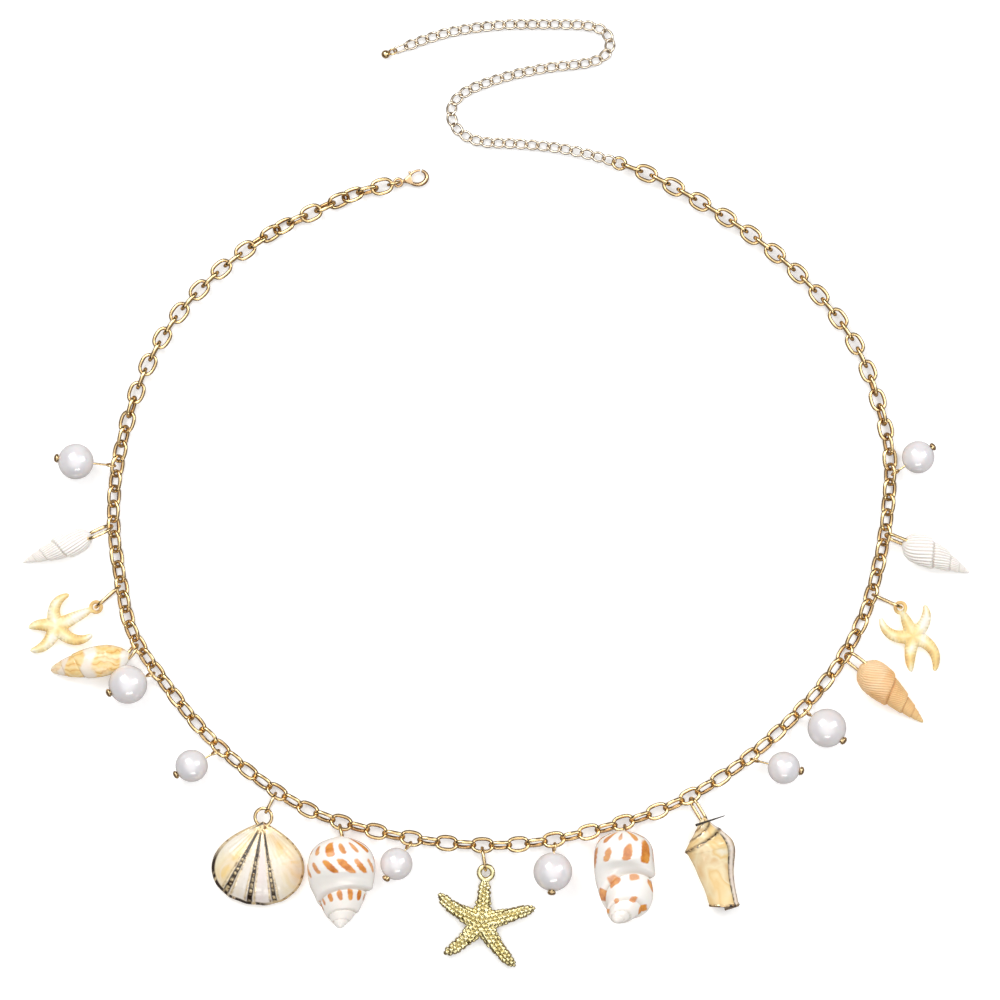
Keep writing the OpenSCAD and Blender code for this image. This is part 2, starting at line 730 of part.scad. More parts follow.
module white_shell_right_ring() {
    color("goldenrod") charm_ring(white_right_place);
}

module amber_shell() {
    color("sandybrown")
        drilled_shell(amber_place)
            spiral_shell(amber_profile, amber_l, amber_w, shell_rise * amber_w, 9, 0.03);
}

module amber_shell_ring() {
    color("goldenrod") charm_ring(amber_place);
}

module peach_shell() {
    color("peachpuff")
        drilled_shell(peach_place)
            spiral_shell(peach_profile, peach_l, peach_w, shell_rise * peach_w, 10, 0.06);
}

module peach_shell_ring() {
    color("goldenrod") charm_ring(peach_place);
}

module spotted_shell_left() {
    color("linen")
        drilled_shell(spotted_left_place)
            spiral_shell(
                spotted_profile, spotted_left_l, spotted_left_w,
                spotted_left_rise * spotted_left_w, 9, 0.02, 16
            );
}

module spotted_shell_left_ring() {
    color("goldenrod") charm_ring(spotted_left_place);
}

module spotted_shell_right() {
    color("linen")
        drilled_shell(spotted_right_place)
            spiral_shell(
                spotted_profile, spotted_right_l, spotted_right_w,
                shell_rise * spotted_right_w, 9, 0.02, 16
            );
}

module spotted_shell_right_ring() {
    color("goldenrod") charm_ring(spotted_right_place);
}

// Cone shell with the black pin that crosses it under its ring
cone_h = cone_rise * cone_w;
black_pin_x = shell_lip + ring_wire + 2 * ring_play + black_pin_d / 2 + 0.6;

module black_pin_axis(length, d, start) {
    behind_ring(cone_place)
        translate([black_pin_x, start, cone_h / 2])
            rotate([-90, 0, 0]) cylinder(h = length, d = d, $fn = 24);
}

module cone_shell() {
    color("burlywood")
        difference() {
            drilled_shell(cone_place)
                spiral_shell(cone_profile, cone_l, cone_w, cone_h, 8, 0, 12);
            black_pin_axis(black_pin_l + 1, black_pin_d + 2 * pin_play, -black_pin_in - pin_play);
        }
}

module cone_shell_ring() {
    color("goldenrod") charm_ring(cone_place);
}

module cone_shell_pin() {
    color("dimgray") black_pin_axis(black_pin_l, black_pin_d, -black_pin_in);
}

// Scallop: a thin ribbed dome, hung by a link and a flatter ring through its beak
scallop_ring_x = (ring_d - ring_wire) - ring_wire - ring_play + scallop_place[5] / 2;

module at_scallop_ring() {
    at_ring(scallop_place)
        translate([scallop_ring_x, 0, 0])
            rotate([0, 0, scallop_place[3] - scallop_place[1]]) children();
}

module scallop_loop(extra = 0) {
    at_scallop_ring() rotate([scallop_lean, 0, 0])
        torus((ring_d - ring_wire) / 2, ring_wire + 2 * extra);
}

// Outline of the scallop from its beak, clockwise; a runs from -1 to 1 across the fan
function fan_rib(a) = cos(360 * fan_ribs * a);
function fan_point(a, f) =
    let (
        round_off = 1 - pow(abs(a), fan_powers[a < 0 ? 0 : 1]),
        r = scallop_l * sqrt(round_off) * (1 - fan_rib_depths[0] * fan_rib(a)),
        q = [r * cos(-a * fan_half), r * sin(-a * fan_half)],
        c = [scallop_l * scallop_top, 0]
    )
    c + f * (q - c);
function fan_edge(x) = max(scallop_wall, scallop_beak - x * scallop_fall);
function fan_dome(f) = pow(1 - pow(f, dome_powers[0]), dome_powers[1]);
function fan_top(a, f) =
    let (p = fan_point(a, f), e = fan_edge(p.x))
    [p.x, p.y, e + (scallop_h - e) * fan_dome(f) * (1 - fan_rib_depths[1] * fan_rib(a))];
function fan_under(a, f) =
    let (p = fan_point(a, f * under_share), e = fan_edge(p.x) - scallop_wall)
    [p.x, p.y, e + (scallop_h - scallop_wall - e) * fan_dome(f)];

module scallop() {
    n = 28;
    sweep = [for (i = [0 : n - 1]) -1 + 2 * i / n];
    rings = concat(
        [for (f = fan_shares) [for (a = sweep) fan_top(a, f)]],
        [for (k = [4, 3, 2, 1, 0]) [for (a = sweep) fan_under(a, fan_shares[k])]]
    );
    c = [scallop_l * scallop_top, 0];
    color("wheat")
        difference() {
            at_scallop_ring()
                translate([ring_d / 2 - ring_wire - shell_lip, 0, -ring_z(ring_d, scallop_place[2])])
                    loft([c.x, c.y, scallop_h], rings, [c.x, c.y, scallop_h - scallop_wall]);
            scallop_loop(ring_play);
        }
}

module scallop_ring() {
    color("goldenrod") scallop_loop();
}

module scallop_link() {
    color("goldenrod") charm_ring(scallop_place);
}

// Starfish: X from its loop to its middle; arms are rows of direction, reach share and curl
function star_edge(reach, width, a) =
    pow(pow(cos(a) / reach, star_power) + pow(sin(a) / width, star_power), -1 / star_power);
function star_ring(arms, r, x, f, z) = [
    for (i = [0 : 4], off = star_offsets)
        let (
            near = arms[off < 36 ? i : (i + 1) % 5],
            a = off < 36 ? off : off - 72,
            reach = f * star_edge(r * near[1], arm_width * r, abs(a)),
            turn = near[0] + a + near[2] * pow(reach / (r * near[1]), 2)
        )
        [x + reach * cos(turn), reach * sin(turn), z]
];

module star_body(arms, r, h, x) {
    loft(
        [x, 0, -h / 2],
        [
            star_ring(arms, r, x, 0.86, -h / 2),
            star_ring(arms, r, x, 1, -h / 6),
            star_ring(arms, r, x, 0.9, h / 5),
            star_ring(arms, r, x, 0.62, h * 0.36),
            star_ring(arms, r, x, 0.3, h * 0.46)
        ],
        [x, 0, h / 2]
    );
}

// The loop lies flat in its ring, and the starfish dips from it to the floor
function loop_x(d, place) =
    let (
        hold = place[4] / 2 - ring_wire - loop_wire / 2 - ring_play,
        drop = ring_z(place[4], 90) - loop_z
    )
    sqrt(hold * hold - drop * drop) + (d - loop_wire + place[5]) / 2;

module starfish(place, arms, r, h, loop_d) {
    x = (loop_d - loop_wire) / 2 + arms[2][1] * r;
    dip = asin((loop_z - h / 2 - floor_gap) / (x + r));
    at_ring(place)
        translate([loop_x(loop_d, place), 0, loop_z - ring_z(place[4], 90)])
            rotate([0, dip, place[3] - place[1]]) {
                torus((loop_d - loop_wire) / 2, loop_wire);
                star_body(arms, r, h, x);
            }
}

module gold_starfish() {
    color("darkkhaki")
        starfish(gold_star_place, gold_arms, gold_star_r, gold_star_h, gold_loop_d);
}

module gold_starfish_ring() {
    color("goldenrod") charm_ring(gold_star_place);
}

module cream_starfish_left() {
    color("moccasin")
        starfish(star_left_place, left_arms, cream_star_r, cream_star_h, cream_loop_d);
}

module cream_starfish_left_ring() {
    color("goldenrod") charm_ring(star_left_place);
}

module cream_starfish_right() {
    color("moccasin")
        starfish(star_right_place, right_arms, cream_star_r, cream_star_h, cream_loop_d);
}

module cream_starfish_right_ring() {
    color("goldenrod") charm_ring(star_right_place);
}

chain_left();
chain_right();
extension_chain();
tail_link();
tail_ball();
end_ring();
clasp_ring();
clasp_body();
clasp_lever();
clasp_rivet();
white_shell_left();
white_shell_left_ring();
cream_starfish_left();
cream_starfish_left_ring();
amber_shell();
amber_shell_ring();
scallop();
scallop_ring();
scallop_link();
spotted_shell_left();
spotted_shell_left_ring();
gold_starfish();
gold_starfish_ring();
spotted_shell_right();
spotted_shell_right_ring();
cone_shell();
cone_shell_ring();
cone_shell_pin();
peach_shell();
peach_shell_ring();
cream_starfish_right();
cream_starfish_right_ring();
white_shell_right();
white_shell_right_ring();
pearl(1);  // pearl_1
pearl(2);  // pearl_2
pearl(3);  // pearl_3
pearl(4);  // pearl_4
pearl(5);  // pearl_5
pearl(6);  // pearl_6
pearl(7);  // pearl_7
pearl(8);  // pearl_8
pearl_pin(1);  // pearl_pin_1
pearl_pin(2);  // pearl_pin_2
pearl_pin(3);  // pearl_pin_3
pearl_pin(4);  // pearl_pin_4
pearl_pin(5);  // pearl_pin_5
pearl_pin(6);  // pearl_pin_6
pearl_pin(7);  // pearl_pin_7
pearl_pin(8);  // pearl_pin_8
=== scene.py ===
import json
from math import atan, atan2, copysign, cos, degrees, exp, floor, hypot, log, pi, radians, sin, sqrt
import bmesh
import bpy
import numpy
from mathutils import Matrix, Vector, noise


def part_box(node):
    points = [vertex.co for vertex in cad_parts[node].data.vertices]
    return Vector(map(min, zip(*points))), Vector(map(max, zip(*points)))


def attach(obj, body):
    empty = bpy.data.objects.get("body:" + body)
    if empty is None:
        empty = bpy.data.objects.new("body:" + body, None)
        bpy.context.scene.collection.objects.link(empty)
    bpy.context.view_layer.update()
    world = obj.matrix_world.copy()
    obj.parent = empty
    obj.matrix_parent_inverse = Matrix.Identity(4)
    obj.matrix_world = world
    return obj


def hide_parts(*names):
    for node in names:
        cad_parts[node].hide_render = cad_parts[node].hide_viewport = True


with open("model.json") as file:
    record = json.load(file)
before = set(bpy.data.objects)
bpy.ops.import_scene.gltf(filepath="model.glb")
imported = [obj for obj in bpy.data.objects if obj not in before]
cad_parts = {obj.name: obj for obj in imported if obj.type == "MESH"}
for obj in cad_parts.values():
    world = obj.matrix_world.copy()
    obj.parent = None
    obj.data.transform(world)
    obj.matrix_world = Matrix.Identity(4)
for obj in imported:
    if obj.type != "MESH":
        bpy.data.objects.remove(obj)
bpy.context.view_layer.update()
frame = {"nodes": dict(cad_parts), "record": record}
mm = 0.001
nodes = frame["nodes"]

# camera straight above, soft boxes round it, and a lit white table
print("camera and light")
cameraSettings = {"aim": (0.002, -0.0023), "height": 2.4, "viewWidth": 0.31, "clip": (0.05, 20)}
lightSettings = {
    # world: rows of height, red, green and blue, dark low down and bright above
    "world": [(0.58, 0.02, 0.0186, 0.0172), (0.92, 1.05, 1.05, 1.05)],
    "exposure": 0.22, "floorRadius": 3, "floorGlow": 0.22,
    "mirrored": (0.1, 0.055, 0.028), "mirroredShare": 0.85,
    "boxes": [
        # name, place, width, length, power, colour
        ("keyBox", (-0.55, 0.75, 0.95), 0.8, 0.8, 8.6, (1, 0.985, 0.96)),
        ("fillBox", (0.8, 0.35, 0.8), 0.6, 0.75, 4.2, (0.96, 0.98, 1)),
        ("lowBox", (0.1, -0.95, 0.65), 0.6, 0.2, 1.6, (1, 0.97, 0.92)),
    ],
}


class Value:
    # a socket that can be added, multiplied and so on
    def __init__(self, recipe, socket):
        self.recipe = recipe
        self.socket = socket

    def maths(self, operation, other):
        return self.recipe.node("Math", {"operation": operation}, {0: self, 1: other})

    def __add__(self, other):
        return self.maths("ADD", other)

    def __sub__(self, other):
        return self.maths("SUBTRACT", other)

    def __mul__(self, other):
        return self.maths("MULTIPLY", other)

    __radd__ = __add__

    def step(self, low, high):
        # 0 under low, 1 over high, smooth between them
        return self.recipe.node(
            "MapRange", {"interpolation_type": "SMOOTHSTEP"}, {0: self, 1: low, 2: high})


class Recipe:
    # one material, or the world
    def __init__(self, name, kind="materials"):
        self.owner = getattr(bpy.data, kind).new(name)
        self.owner.use_nodes = True
        self.tree = self.owner.node_tree
        self.shader = self.tree.nodes["Background" if kind == "worlds" else "Principled BSDF"]
        self.where = self.node("TexCoord", output=3)

    def node(self, kind, settings=None, inputs=None, output=0):
        made = self.tree.nodes.new("ShaderNode" + kind)
        for key, value in (settings or {}).items():
            if key == "stops":
                ramp = made.color_ramp
                while len(ramp.elements) < len(value):
                    ramp.elements.new(1)
                for element, (place, *colour) in zip(ramp.elements, value):
                    element.position = place
                    element.color = (*colour, 1)
            else:
                setattr(made, key, value)
        for key, value in (inputs or {}).items():
            if isinstance(value, Value):
                self.tree.links.new(value.socket, made.inputs[key])
            else:
                made.inputs[key].default_value = value
        return Value(self, made.outputs[output])

    def mark(self, name):
        # a value that the mesh carries
        return self.node("Attribute", {"attribute_name": name}, output=2)

    def grain(self, scale, detail=3, distortion=0):
        return self.node("TexNoise", {}, {
            "Vector": self.where, "Scale": scale, "Detail": detail, "Distortion": distortion})

    def blend(self, share, first, second):
        return self.node("Mix", {"data_type": "RGBA"}, {
            0: share, 6: tinted(first), 7: tinted(second)}, 2)

    def ramp(self, share, stops):
        # stops: rows of place, red, green and blue
        return self.node("ValToRGB", {"stops": stops}, {0: share})

    def bump(self, height, depth, strength):
        return self.node("Bump", {}, {"Strength": strength, "Distance": depth, "Height": height})

    def finish(self, **sockets):
        # constants go on the shader's own sockets, values are linked to them
        for name, value in sockets.items():
            socket = self.shader.inputs[name.replace("_", " ")]
            if isinstance(value, Value):
                self.tree.links.new(value.socket, socket)
            else:
                socket.default_value = tinted(value)
        return self.owner


def ease(x, low, high):
    t = min(max((x - low) / (high - low), 0), 1)
    return t * t * (3 - 2 * t)


def wavy(*place):
    return noise.noise(Vector(place))


def tinted(value):
    return (*value, 1) if isinstance(value, tuple) and len(value) == 3 else value


def placed(name, data):
    made = bpy.data.objects.new(name, data)
    bpy.context.scene.collection.objects.link(made)
    return made


def lamp(name, place, width, length, power, colour):
    light = bpy.data.lights.new(name, "AREA")
    light.shape = "RECTANGLE"
    light.size, light.size_y = width, length
    light.energy = power
    light.color = colour
    holder = placed(name, light)
    holder.location = place
    holder.rotation_euler = (-Vector(place)).to_track_quat("-Z", "Y").to_euler()


def photographStage():
    s = lightSettings
    scene = bpy.context.scene
    scene.view_settings.view_transform = "Standard"
    scene.view_settings.exposure = s["exposure"]
    lens = bpy.data.cameras.new("camera")
    lens.angle = 2 * atan(cameraSettings["viewWidth"] / 2 / cameraSettings["height"])
    lens.clip_start, lens.clip_end = cameraSettings["clip"]
    scene.camera = placed("camera", lens)
    scene.camera.location = (*cameraSettings["aim"], cameraSettings["height"])
    for box in s["boxes"]:
        lamp(*box)
    sky = Recipe("studio", "worlds")
    height = sky.node("SeparateXYZ", {}, {0: sky.node("TexCoord")}, 2)
    scene.world = sky.finish(Color=sky.ramp(height, s["world"]))
    mesh = bmesh.new()
    bmesh.ops.create_circle(mesh, cap_ends=True, segments=64, radius=s["floorRadius"])
    table = meshObject("floor", mesh)
    paper = Recipe("floorPaper")
    tooth = paper.blend(paper.grain(900, 2), (0.9, 0.9, 0.9), (0.93, 0.93, 0.93))
    painted(table, paper.finish(
        Base_Color=tooth, Roughness=0.9, Emission_Color=(1, 1, 1),
        Emission_Strength=s["floorGlow"]))
    # polished pieces mirror a dark room, as in the photograph
    mirrored = paper.node("LightPath", output=3)
    plain = Value(paper, paper.shader.outputs[0])
    dim = paper.node("Emission", {}, {"Color": tinted(s["mirrored"])})
    mixed = paper.node("MixShader", {}, {0: mirrored * s["mirroredShare"], 1: plain, 2: dim})
    paper.tree.links.new(mixed.socket, paper.tree.nodes["Material Output"].inputs["Surface"])


def meshData(name, mesh):
    data = bpy.data.meshes.new(name)
    mesh.to_mesh(data)
    mesh.free()
    data.polygons.foreach_set("use_smooth", [True] * len(data.polygons))
    return data


def meshObject(name, mesh):
    return placed(name, meshData(name, mesh))


def painted(piece, material):
    piece.data.materials.clear()
    piece.data.materials.append(material)


def worn(piece, material, slotName, *replaced, body="chain"):
    # a finished piece: its material, its body and the nodes that it stands for
    painted(piece, material)
    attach(piece, body)
    if replaced:
        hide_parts(*replaced)


def levelWay(start, end):
    return Vector((end.x - start.x, end.y - start.y, 0)).normalized()


def laid(x, y, z, way):
    # lying at a place, with X along a way
    return Matrix.Translation((x, y, z)) @ Matrix.Rotation(atan2(way.y, way.x), 4, "Z")


def points(node):
    data = nodes[node].data
    flat = numpy.empty(len(data.vertices) * 3)
    data.vertices.foreach_get("co", flat)
    return flat.reshape(-1, 3)


photographStage()

# metals
print("metals")
metalSettings = {
    # name: base, dark colour of tone patches and of the painted shade inside the chain's links,
    # roughness
    "chain": ((1, 0.76, 0.4), (0.34, 0.14, 0.035), 0.13),
    "extension": ((0.89, 0.78, 0.63), (0.3, 0.22, 0.13), 0.15),
    "clasp": ((0.9, 0.64, 0.37), (0.28, 0.13, 0.05), 0.22),
    "ring": ((0.96, 0.73, 0.4), (0.48, 0.27, 0.09), 0.17),
    "cap": ((0.74, 0.54, 0.3), (0.3, 0.17, 0.08), 0.24),
}


def metal(name, base, shadeAndTone, rough):
    made = Recipe(name + "Metal")
    patches = made.grain(260).step(0.4, 0.68)
    fine = made.grain(2600, 2)
    # painted shade: the marked insides of the chain's links darkened, mixed with random tone
    # patches
    toneAndShade = made.blend(patches * 0.25 + made.mark("inner") * 0.75, base, shadeAndTone)
    return made.finish(
        Base_Color=made.blend(fine * 0.12, toneAndShade, shadeAndTone), Metallic=1,
        Roughness=rough + patches * 0.1 + fine * 0.05,
        Normal=made.bump(fine, 0.000012, 0.5))


metals = {name: metal(name, *row) for name, row in metalSettings.items()}

# chains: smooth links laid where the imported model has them
print("chains")
chainSettings = {
    "links": 64, "length": 7.9 * mm, "width": 5.6 * mm, "wire": 1.3 * mm,
    "wireSides": 8, "endSteps": 5,
}
extensionSettings = {"fuller": 0.2}


def linkPlaces(node):
    # middle and axes of every link of a chain node, whose links follow one another
    places = []
    for chunk in numpy.split(points(node), chainSettings["links"]):
        middle = chunk.mean(0)
        spread = (chunk - middle).T @ (chunk - middle)
        axes = numpy.linalg.eigh(spread)[1]
        across, wide, long = (Vector(axes[:, k]) for k in range(3))
        if long.cross(wide).dot(across) < 0:
            across = -across
        turn = Matrix((long, wide, across)).transposed().to_4x4()
        places.append(Matrix.Translation(Vector(middle)) @ turn)
    return places


def ovalWire():
    # one oval link, long along X: a circle of wire swept round two half rings
    s = chainSettings
    mesh = bmesh.new()
    bend = (s["width"] - s["wire"]) / 2
    straight = (s["length"] - s["width"]) / 2
    made = bmesh.ops.create_circle(
        mesh, segments=s["wireSides"], radius=s["wire"] / 2,
        matrix=Matrix.Translation((straight, -bend, 0)) @ Matrix.Rotation(pi / 2, 4, "Y"))
    edges = list({e for v in made["verts"] for e in v.link_edges})
    for end in (straight, -straight):
        # half a turn about one end, then straight on to the other
        spun = bmesh.ops.spin(
            mesh, geom=edges, cent=(end, 0, 0), axis=(0, 0, 1), angle=pi, steps=s["endSteps"])
        last = [e for e in spun["geom_last"] if isinstance(e, bmesh.types.BMEdge)]
        pulled = bmesh.ops.extrude_edge_only(mesh, edges=last)["geom"]
        edges = [e for e in pulled if isinstance(e, bmesh.types.BMEdge)]
        bmesh.ops.translate(
            mesh, verts=[v for v in pulled if isinstance(v, bmesh.types.BMVert)],
            vec=(-2 * end, 0, 0))
    bmesh.ops.remove_doubles(mesh, verts=mesh.verts, dist=1e-6)
    bmesh.ops.recalc_face_normals(mesh, faces=mesh.faces)
    # painted shade: the side of the wire facing into the link is marked, to be darkened
    inner = mesh.verts.layers.float.new("inner")
    mesh.normal_update()
    for v in mesh.verts:
        spine = Vector((min(max(v.co.x, -straight), straight), 0, 0))
        v[inner] = ease((spine - v.co).normalized().dot(v.normal), 0.1, 0.9)
    return meshData("ovalLink", mesh)


def laidLinks(name, link, places):
    mesh = bmesh.new()
    for place in places:
        before = len(mesh.verts)
        mesh.from_mesh(link)
        mesh.verts.ensure_lookup_table()
        bmesh.ops.transform(mesh, matrix=place, verts=mesh.verts[before:])
    return meshObject(name, mesh)


def rounded(piece):
    finer = piece.modifiers.new("rounding", "SUBSURF")
    finer.levels = finer.render_levels = 1
    return piece


oval = ovalWire()
for side in ("left", "right"):
    run = rounded(laidLinks("chain_links_" + side, oval, linkPlaces("chain_" + side)))
    worn(run, metals["chain"], "chain_metal", "chain_" + side)


def fullerCopy(node, more, twisted=False):
    # a node's mesh, a little fuller; twisted links have their facets joined to squares first
    mesh = bmesh.new()
    mesh.from_mesh(nodes[node].data)
    bmesh.ops.remove_doubles(mesh, verts=mesh.verts, dist=2e-6)
    if twisted:
        bmesh.ops.join_triangles(
            mesh, faces=mesh.faces, angle_face_threshold=1.5, angle_shape_threshold=1.5)
    else:
        mesh.normal_update()
    for v in mesh.verts:
        v.co += v.normal * more * mm
    return mesh


curb = fullerCopy("extension_chain", extensionSettings["fuller"], twisted=True)
curb = rounded(meshObject("extension_links", curb))
worn(curb, metals["extension"], "extension_metal", "extension_chain")


def alongRows(rows, x):
    # a smooth line through rows of place and height
    k = max(1, min(len(rows) - 1, sum(1 for row in rows if row[0] <= x)))
    (x0, y0), (x1, y1) = rows[k - 1], rows[k]
    before, after = rows[max(k - 2, 0)], rows[min(k + 1, len(rows) - 1)]
    slope0 = (y1 - before[1]) / max(x1 - before[0], 1e-6)
    slope1 = (after[1] - y0) / max(after[0] - x0, 1e-6)
    span = x1 - x0
    t = min(max((x - x0) / span, 0), 1)
    return (
        (2 * t**3 - 3 * t**2 + 1) * y0 + (t**3 - 2 * t**2 + t) * span * slope0
        + (3 * t**2 - 2 * t**3) * y1 + (t**3 - t**2) * span * slope1)


def wrapped(name, size, shape, marks):
    # a grid rolled up by shape(u, v), which gives a place and the values of the marks
    mesh = bmesh.new()
    mesh.loops.layers.uv.new("UVMap")
    bmesh.ops.create_grid(
        mesh, x_segments=size["around"], y_segments=size["along"], size=0.5, calc_uvs=True)
    layers = [mesh.verts.layers.float.new(mark) for mark in marks]
    for v in mesh.verts:
        place, values = shape(v.co.x + 0.5, v.co.y + 0.5)
        v.co = place
        for layer, value in zip(layers, values):
            v[layer] = value
    bmesh.ops.remove_doubles(mesh, verts=mesh.verts, dist=2e-6)
    bmesh.ops.recalc_face_normals(mesh, faces=mesh.faces)
    return meshObject(name, mesh)


def lyingPlace(node, blunt=False):
    # a shell's heel, with X to its tip: its farthest point, or the middle of a blunt end
    cloud = points(node)
    ring = points(node + "_ring").mean(0)
    away = (cloud - ring)[:, :2]
    tip = cloud[(away ** 2).sum(1).argmax()]
    if blunt:
        heel = cloud[(away @ (tip - ring)[:2]).argmin()]
        along = (cloud - heel)[:, :2] @ (tip - heel)[:2]
        tip = cloud[along > 0.9 * along.max()].mean(0)
    heel = cloud[(away @ (tip - ring)[:2]).argmin()]
    way = Vector(tip[:2] - heel[:2])
    return laid(*heel[:2], 0, way), way.length


def spiralShell(node, ending, form, paint=None):
    # a turning line of sutures, ribs that cross the whorls, and a mouth beneath
    form = {**shellCommon, **form}
    place, length = lyingPlace(node)
    # moved back towards the ring, made longer, and turned a little about the heel
    back, longer, veer = form["moved"]
    veering = Matrix.Rotation(radians(veer), 4, "Z")
    place = place @ Matrix.Translation((-back * mm, 0, 0)) @ veering
    length += longer * mm
    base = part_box(node)[0].z
    width, height = form["width"] * mm, form["height"] * mm
    shrink = log(form["shrink"])
    start = 1 - log(1 - form["firstSuture"]) / shrink - 0.25 * form["hand"]

    def shape(u, v):
        # the ends of the grid meet below, where the mouth is
        u -= 0.25
        share = alongRows(form["outline"], v)
        turn = log(max(1 - v, form["tipEnd"])) / shrink + u * form["hand"] + start
        whorl = floor(turn)
        phase = turn - whorl
        swell = (max(phase, 0.45) if turn < 1 else phase) * (1 - ease(phase, 0.9, 1))
        swell = 0.7 + (swell - 0.7) * ease(turn, 0.45, 0.75)
        swell *= ease(v, 0, 0.1)
        near = min(phase, 1 - phase) if turn > 0.5 else 1
        suture = exp(-(near / form["sutureWidth"]) ** 2) * (1 - ease(v, 0.93, 1))
        rib = 0.5 - 0.5 * cos(2 * pi * (form["ribs"] * u + form["slant"] * v + 0.37 * whorl))
        valley = (1 - rib) ** form["ribSharp"]
        valley *= ease(v, 0.01, 0.1) * (1 - 0.5 * ease(v, 0.85, 1))
        growth = form["growth"] * wavy(u * 9, v * 26, form["seed"])
        aside = min(u + 0.25, 0.75 - u) - 0.01
        mouth = exp(-(aside / form["mouthWidth"]) ** 2) * ease(v, 0.02, 0.12)
        mouth *= 1 - ease(v, form["firstSuture"] - 0.14, form["firstSuture"])
        r = share * (
            1 + form["step"] * (swell - 0.45) - form["sutureDepth"] * suture
            - form["ribDepth"] * valley + growth)
        r *= 1 - form["mouthDepth"] * mouth
        a = 2 * pi * u
        up = height / 2 * r * sin(a)
        side = width / 2 * r * cos(a)
        reach, lean, drift = v * length, 0, 0
        middle = height / 2 * (1 if v < 0.3 else share)
        if "lean" in form:
            lean = form["lean"] * ease(v, 0.22, 0.62)
            reach = length * alongRows(form["reach"], v)
            drift = alongRows(form["drift"], v) * mm
            middle = alongRows(form["climb"], v) * mm
        at = Vector((reach - up * sin(lean), side + drift, base + middle + up * cos(lean)))
        # painted shade: rib valleys, sutures and the mouth beneath are marked to be darkened
        creaseShade = valley * form["ribInk"] + suture * form["sutureInk"] + form["mouthInk"] * mouth
        return place @ at, (min(1, creaseShade), paint(u, v) if paint else 0)

    return wrapped(node + ending, form, shape, ("relief", "paint"))


def shellRecipe(name, deep, stops, patchScale):
    made = Recipe(name)
    patches = made.grain(patchScale)
    fine = made.grain(1400)
    along = made.node("SeparateXYZ", {}, {0: made.node("TexCoord", output=2)}, 1)
    base = made.ramp(along * 0.55 + patches * 0.7, stops)
    # painted shade: the marked creases and mouth darkened towards the deep colour
    ground = made.blend(made.mark("relief") * 0.75, base, deep)
    return made, made.blend(fine.step(0.6, 0.75) * 0.14, ground, deep), fine


def mattShell(name, deep, stops, patchScale, rough):
    made, colour, fine = shellRecipe(name, deep, stops, patchScale)
    return made.finish(
        Base_Color=colour, Roughness=rough + fine * 0.12, Normal=made.bump(fine, 0.00003, 0.5),
        Subsurface_Weight=0.08, Subsurface_Scale=0.001, Coat_Weight=0.1)


# ribbed white, peach and amber shells
print("small shells")
shellCommon = {
    # what a shell has unless its own form says otherwise
    "moved": (0, 0, 0), "around": 176, "along": 130, "hand": -1, "tipEnd": 0.012,
    "sutureWidth": 0.035, "ribSharp": 1.6, "growth": 0.02,
    "mouthWidth": 0.055, "mouthDepth": 0.4, "mouthInk": 0.8,
}
shellForms = {
    # sizes in mm; outline: rows of place along the shell and width there, both as shares
    "white_shell_left": {
        "width": 7.8, "height": 6.7, "firstSuture": 0.47, "shrink": 0.56, "step": 0.16,
        "sutureWidth": 0.045, "sutureDepth": 0.1, "sutureInk": 0.5,
        "ribs": 23, "slant": 4.6, "ribDepth": 0.075, "ribInk": 0.75, "seed": 1,
        "outline": [(0, 0), (0.012, 0.24), (0.04, 0.5), (0.09, 0.74), (0.18, 0.94), (0.3, 1),
                    (0.46, 0.92), (0.62, 0.7), (0.8, 0.42), (0.92, 0.21), (0.985, 0.08), (1, 0)]},
    "white_shell_right": {
        "width": 9.2, "height": 7.9, "firstSuture": 0.45, "shrink": 0.54, "step": 0.18,
        "sutureWidth": 0.045, "sutureDepth": 0.12, "sutureInk": 0.6,
        "ribs": 22, "slant": 8, "ribDepth": 0.085, "ribInk": 0.9, "seed": 2,
        "moved": (1.5, 1.5, 0),
        "outline": [(0, 0), (0.012, 0.26), (0.04, 0.54), (0.09, 0.78), (0.18, 0.96), (0.3, 1),
                    (0.46, 0.9), (0.62, 0.68), (0.8, 0.4), (0.92, 0.2), (0.985, 0.08), (1, 0)]},
    "peach_shell": {
        "width": 10.3, "height": 8.7, "firstSuture": 0.47, "shrink": 0.57, "step": 0.17,
        "sutureDepth": 0.1, "sutureInk": 0.7, "ribs": 30, "slant": 20, "ribSharp": 1.5,
        "ribDepth": 0.06, "ribInk": 0.8, "seed": 3,
        "moved": (1.2, 1.4, 0), "around": 208, "along": 140,
        "outline": [(0, 0), (0.012, 0.28), (0.04, 0.56), (0.09, 0.8), (0.18, 0.97), (0.29, 1),
                    (0.43, 0.9), (0.58, 0.69), (0.74, 0.47), (0.9, 0.23), (0.985, 0.08), (1, 0)]},
    "amber_shell": {
        "width": 9.6, "height": 8.1, "firstSuture": 0.66, "shrink": 0.46, "step": 0.06,
        "sutureWidth": 0.03, "sutureDepth": 0.05, "sutureInk": 0.75, "ribs": 16, "slant": 1,
        "ribSharp": 1.2, "ribDepth": 0.004, "ribInk": 0, "growth": 0.012, "seed": 4,
        "moved": (0, 0.4, 5), "around": 150, "along": 120,
        "outline": [(0, 0), (0.012, 0.14), (0.05, 0.38), (0.12, 0.66), (0.25, 0.93), (0.4, 1),
                    (0.55, 0.94), (0.7, 0.76), (0.85, 0.5), (0.95, 0.28), (0.985, 0.15), (1, 0)]},
}


def bandOf(x, low, high, soft):
    return ease(x, low - soft, low + soft) * (1 - ease(x, high - soft, high + soft))


def amberPaint(u, v):
    # patches of amber with a slanting white band and bare ends
    line = v + 0.22 * (u - 0.25) + 0.05 * wavy(u * 7, v * 6, 5)
    mottled = 0.72 + 0.28 * ease(wavy(u * 10, v * 5, 9), -0.25, 0.15)
    dark = bandOf(line, 0.13, 0.45, 0.03) * mottled
    return max(dark, 0.85 * bandOf(line, 0.6, 0.8, 0.02), 0.5 * bandOf(line, 0.88, 1, 0.02))


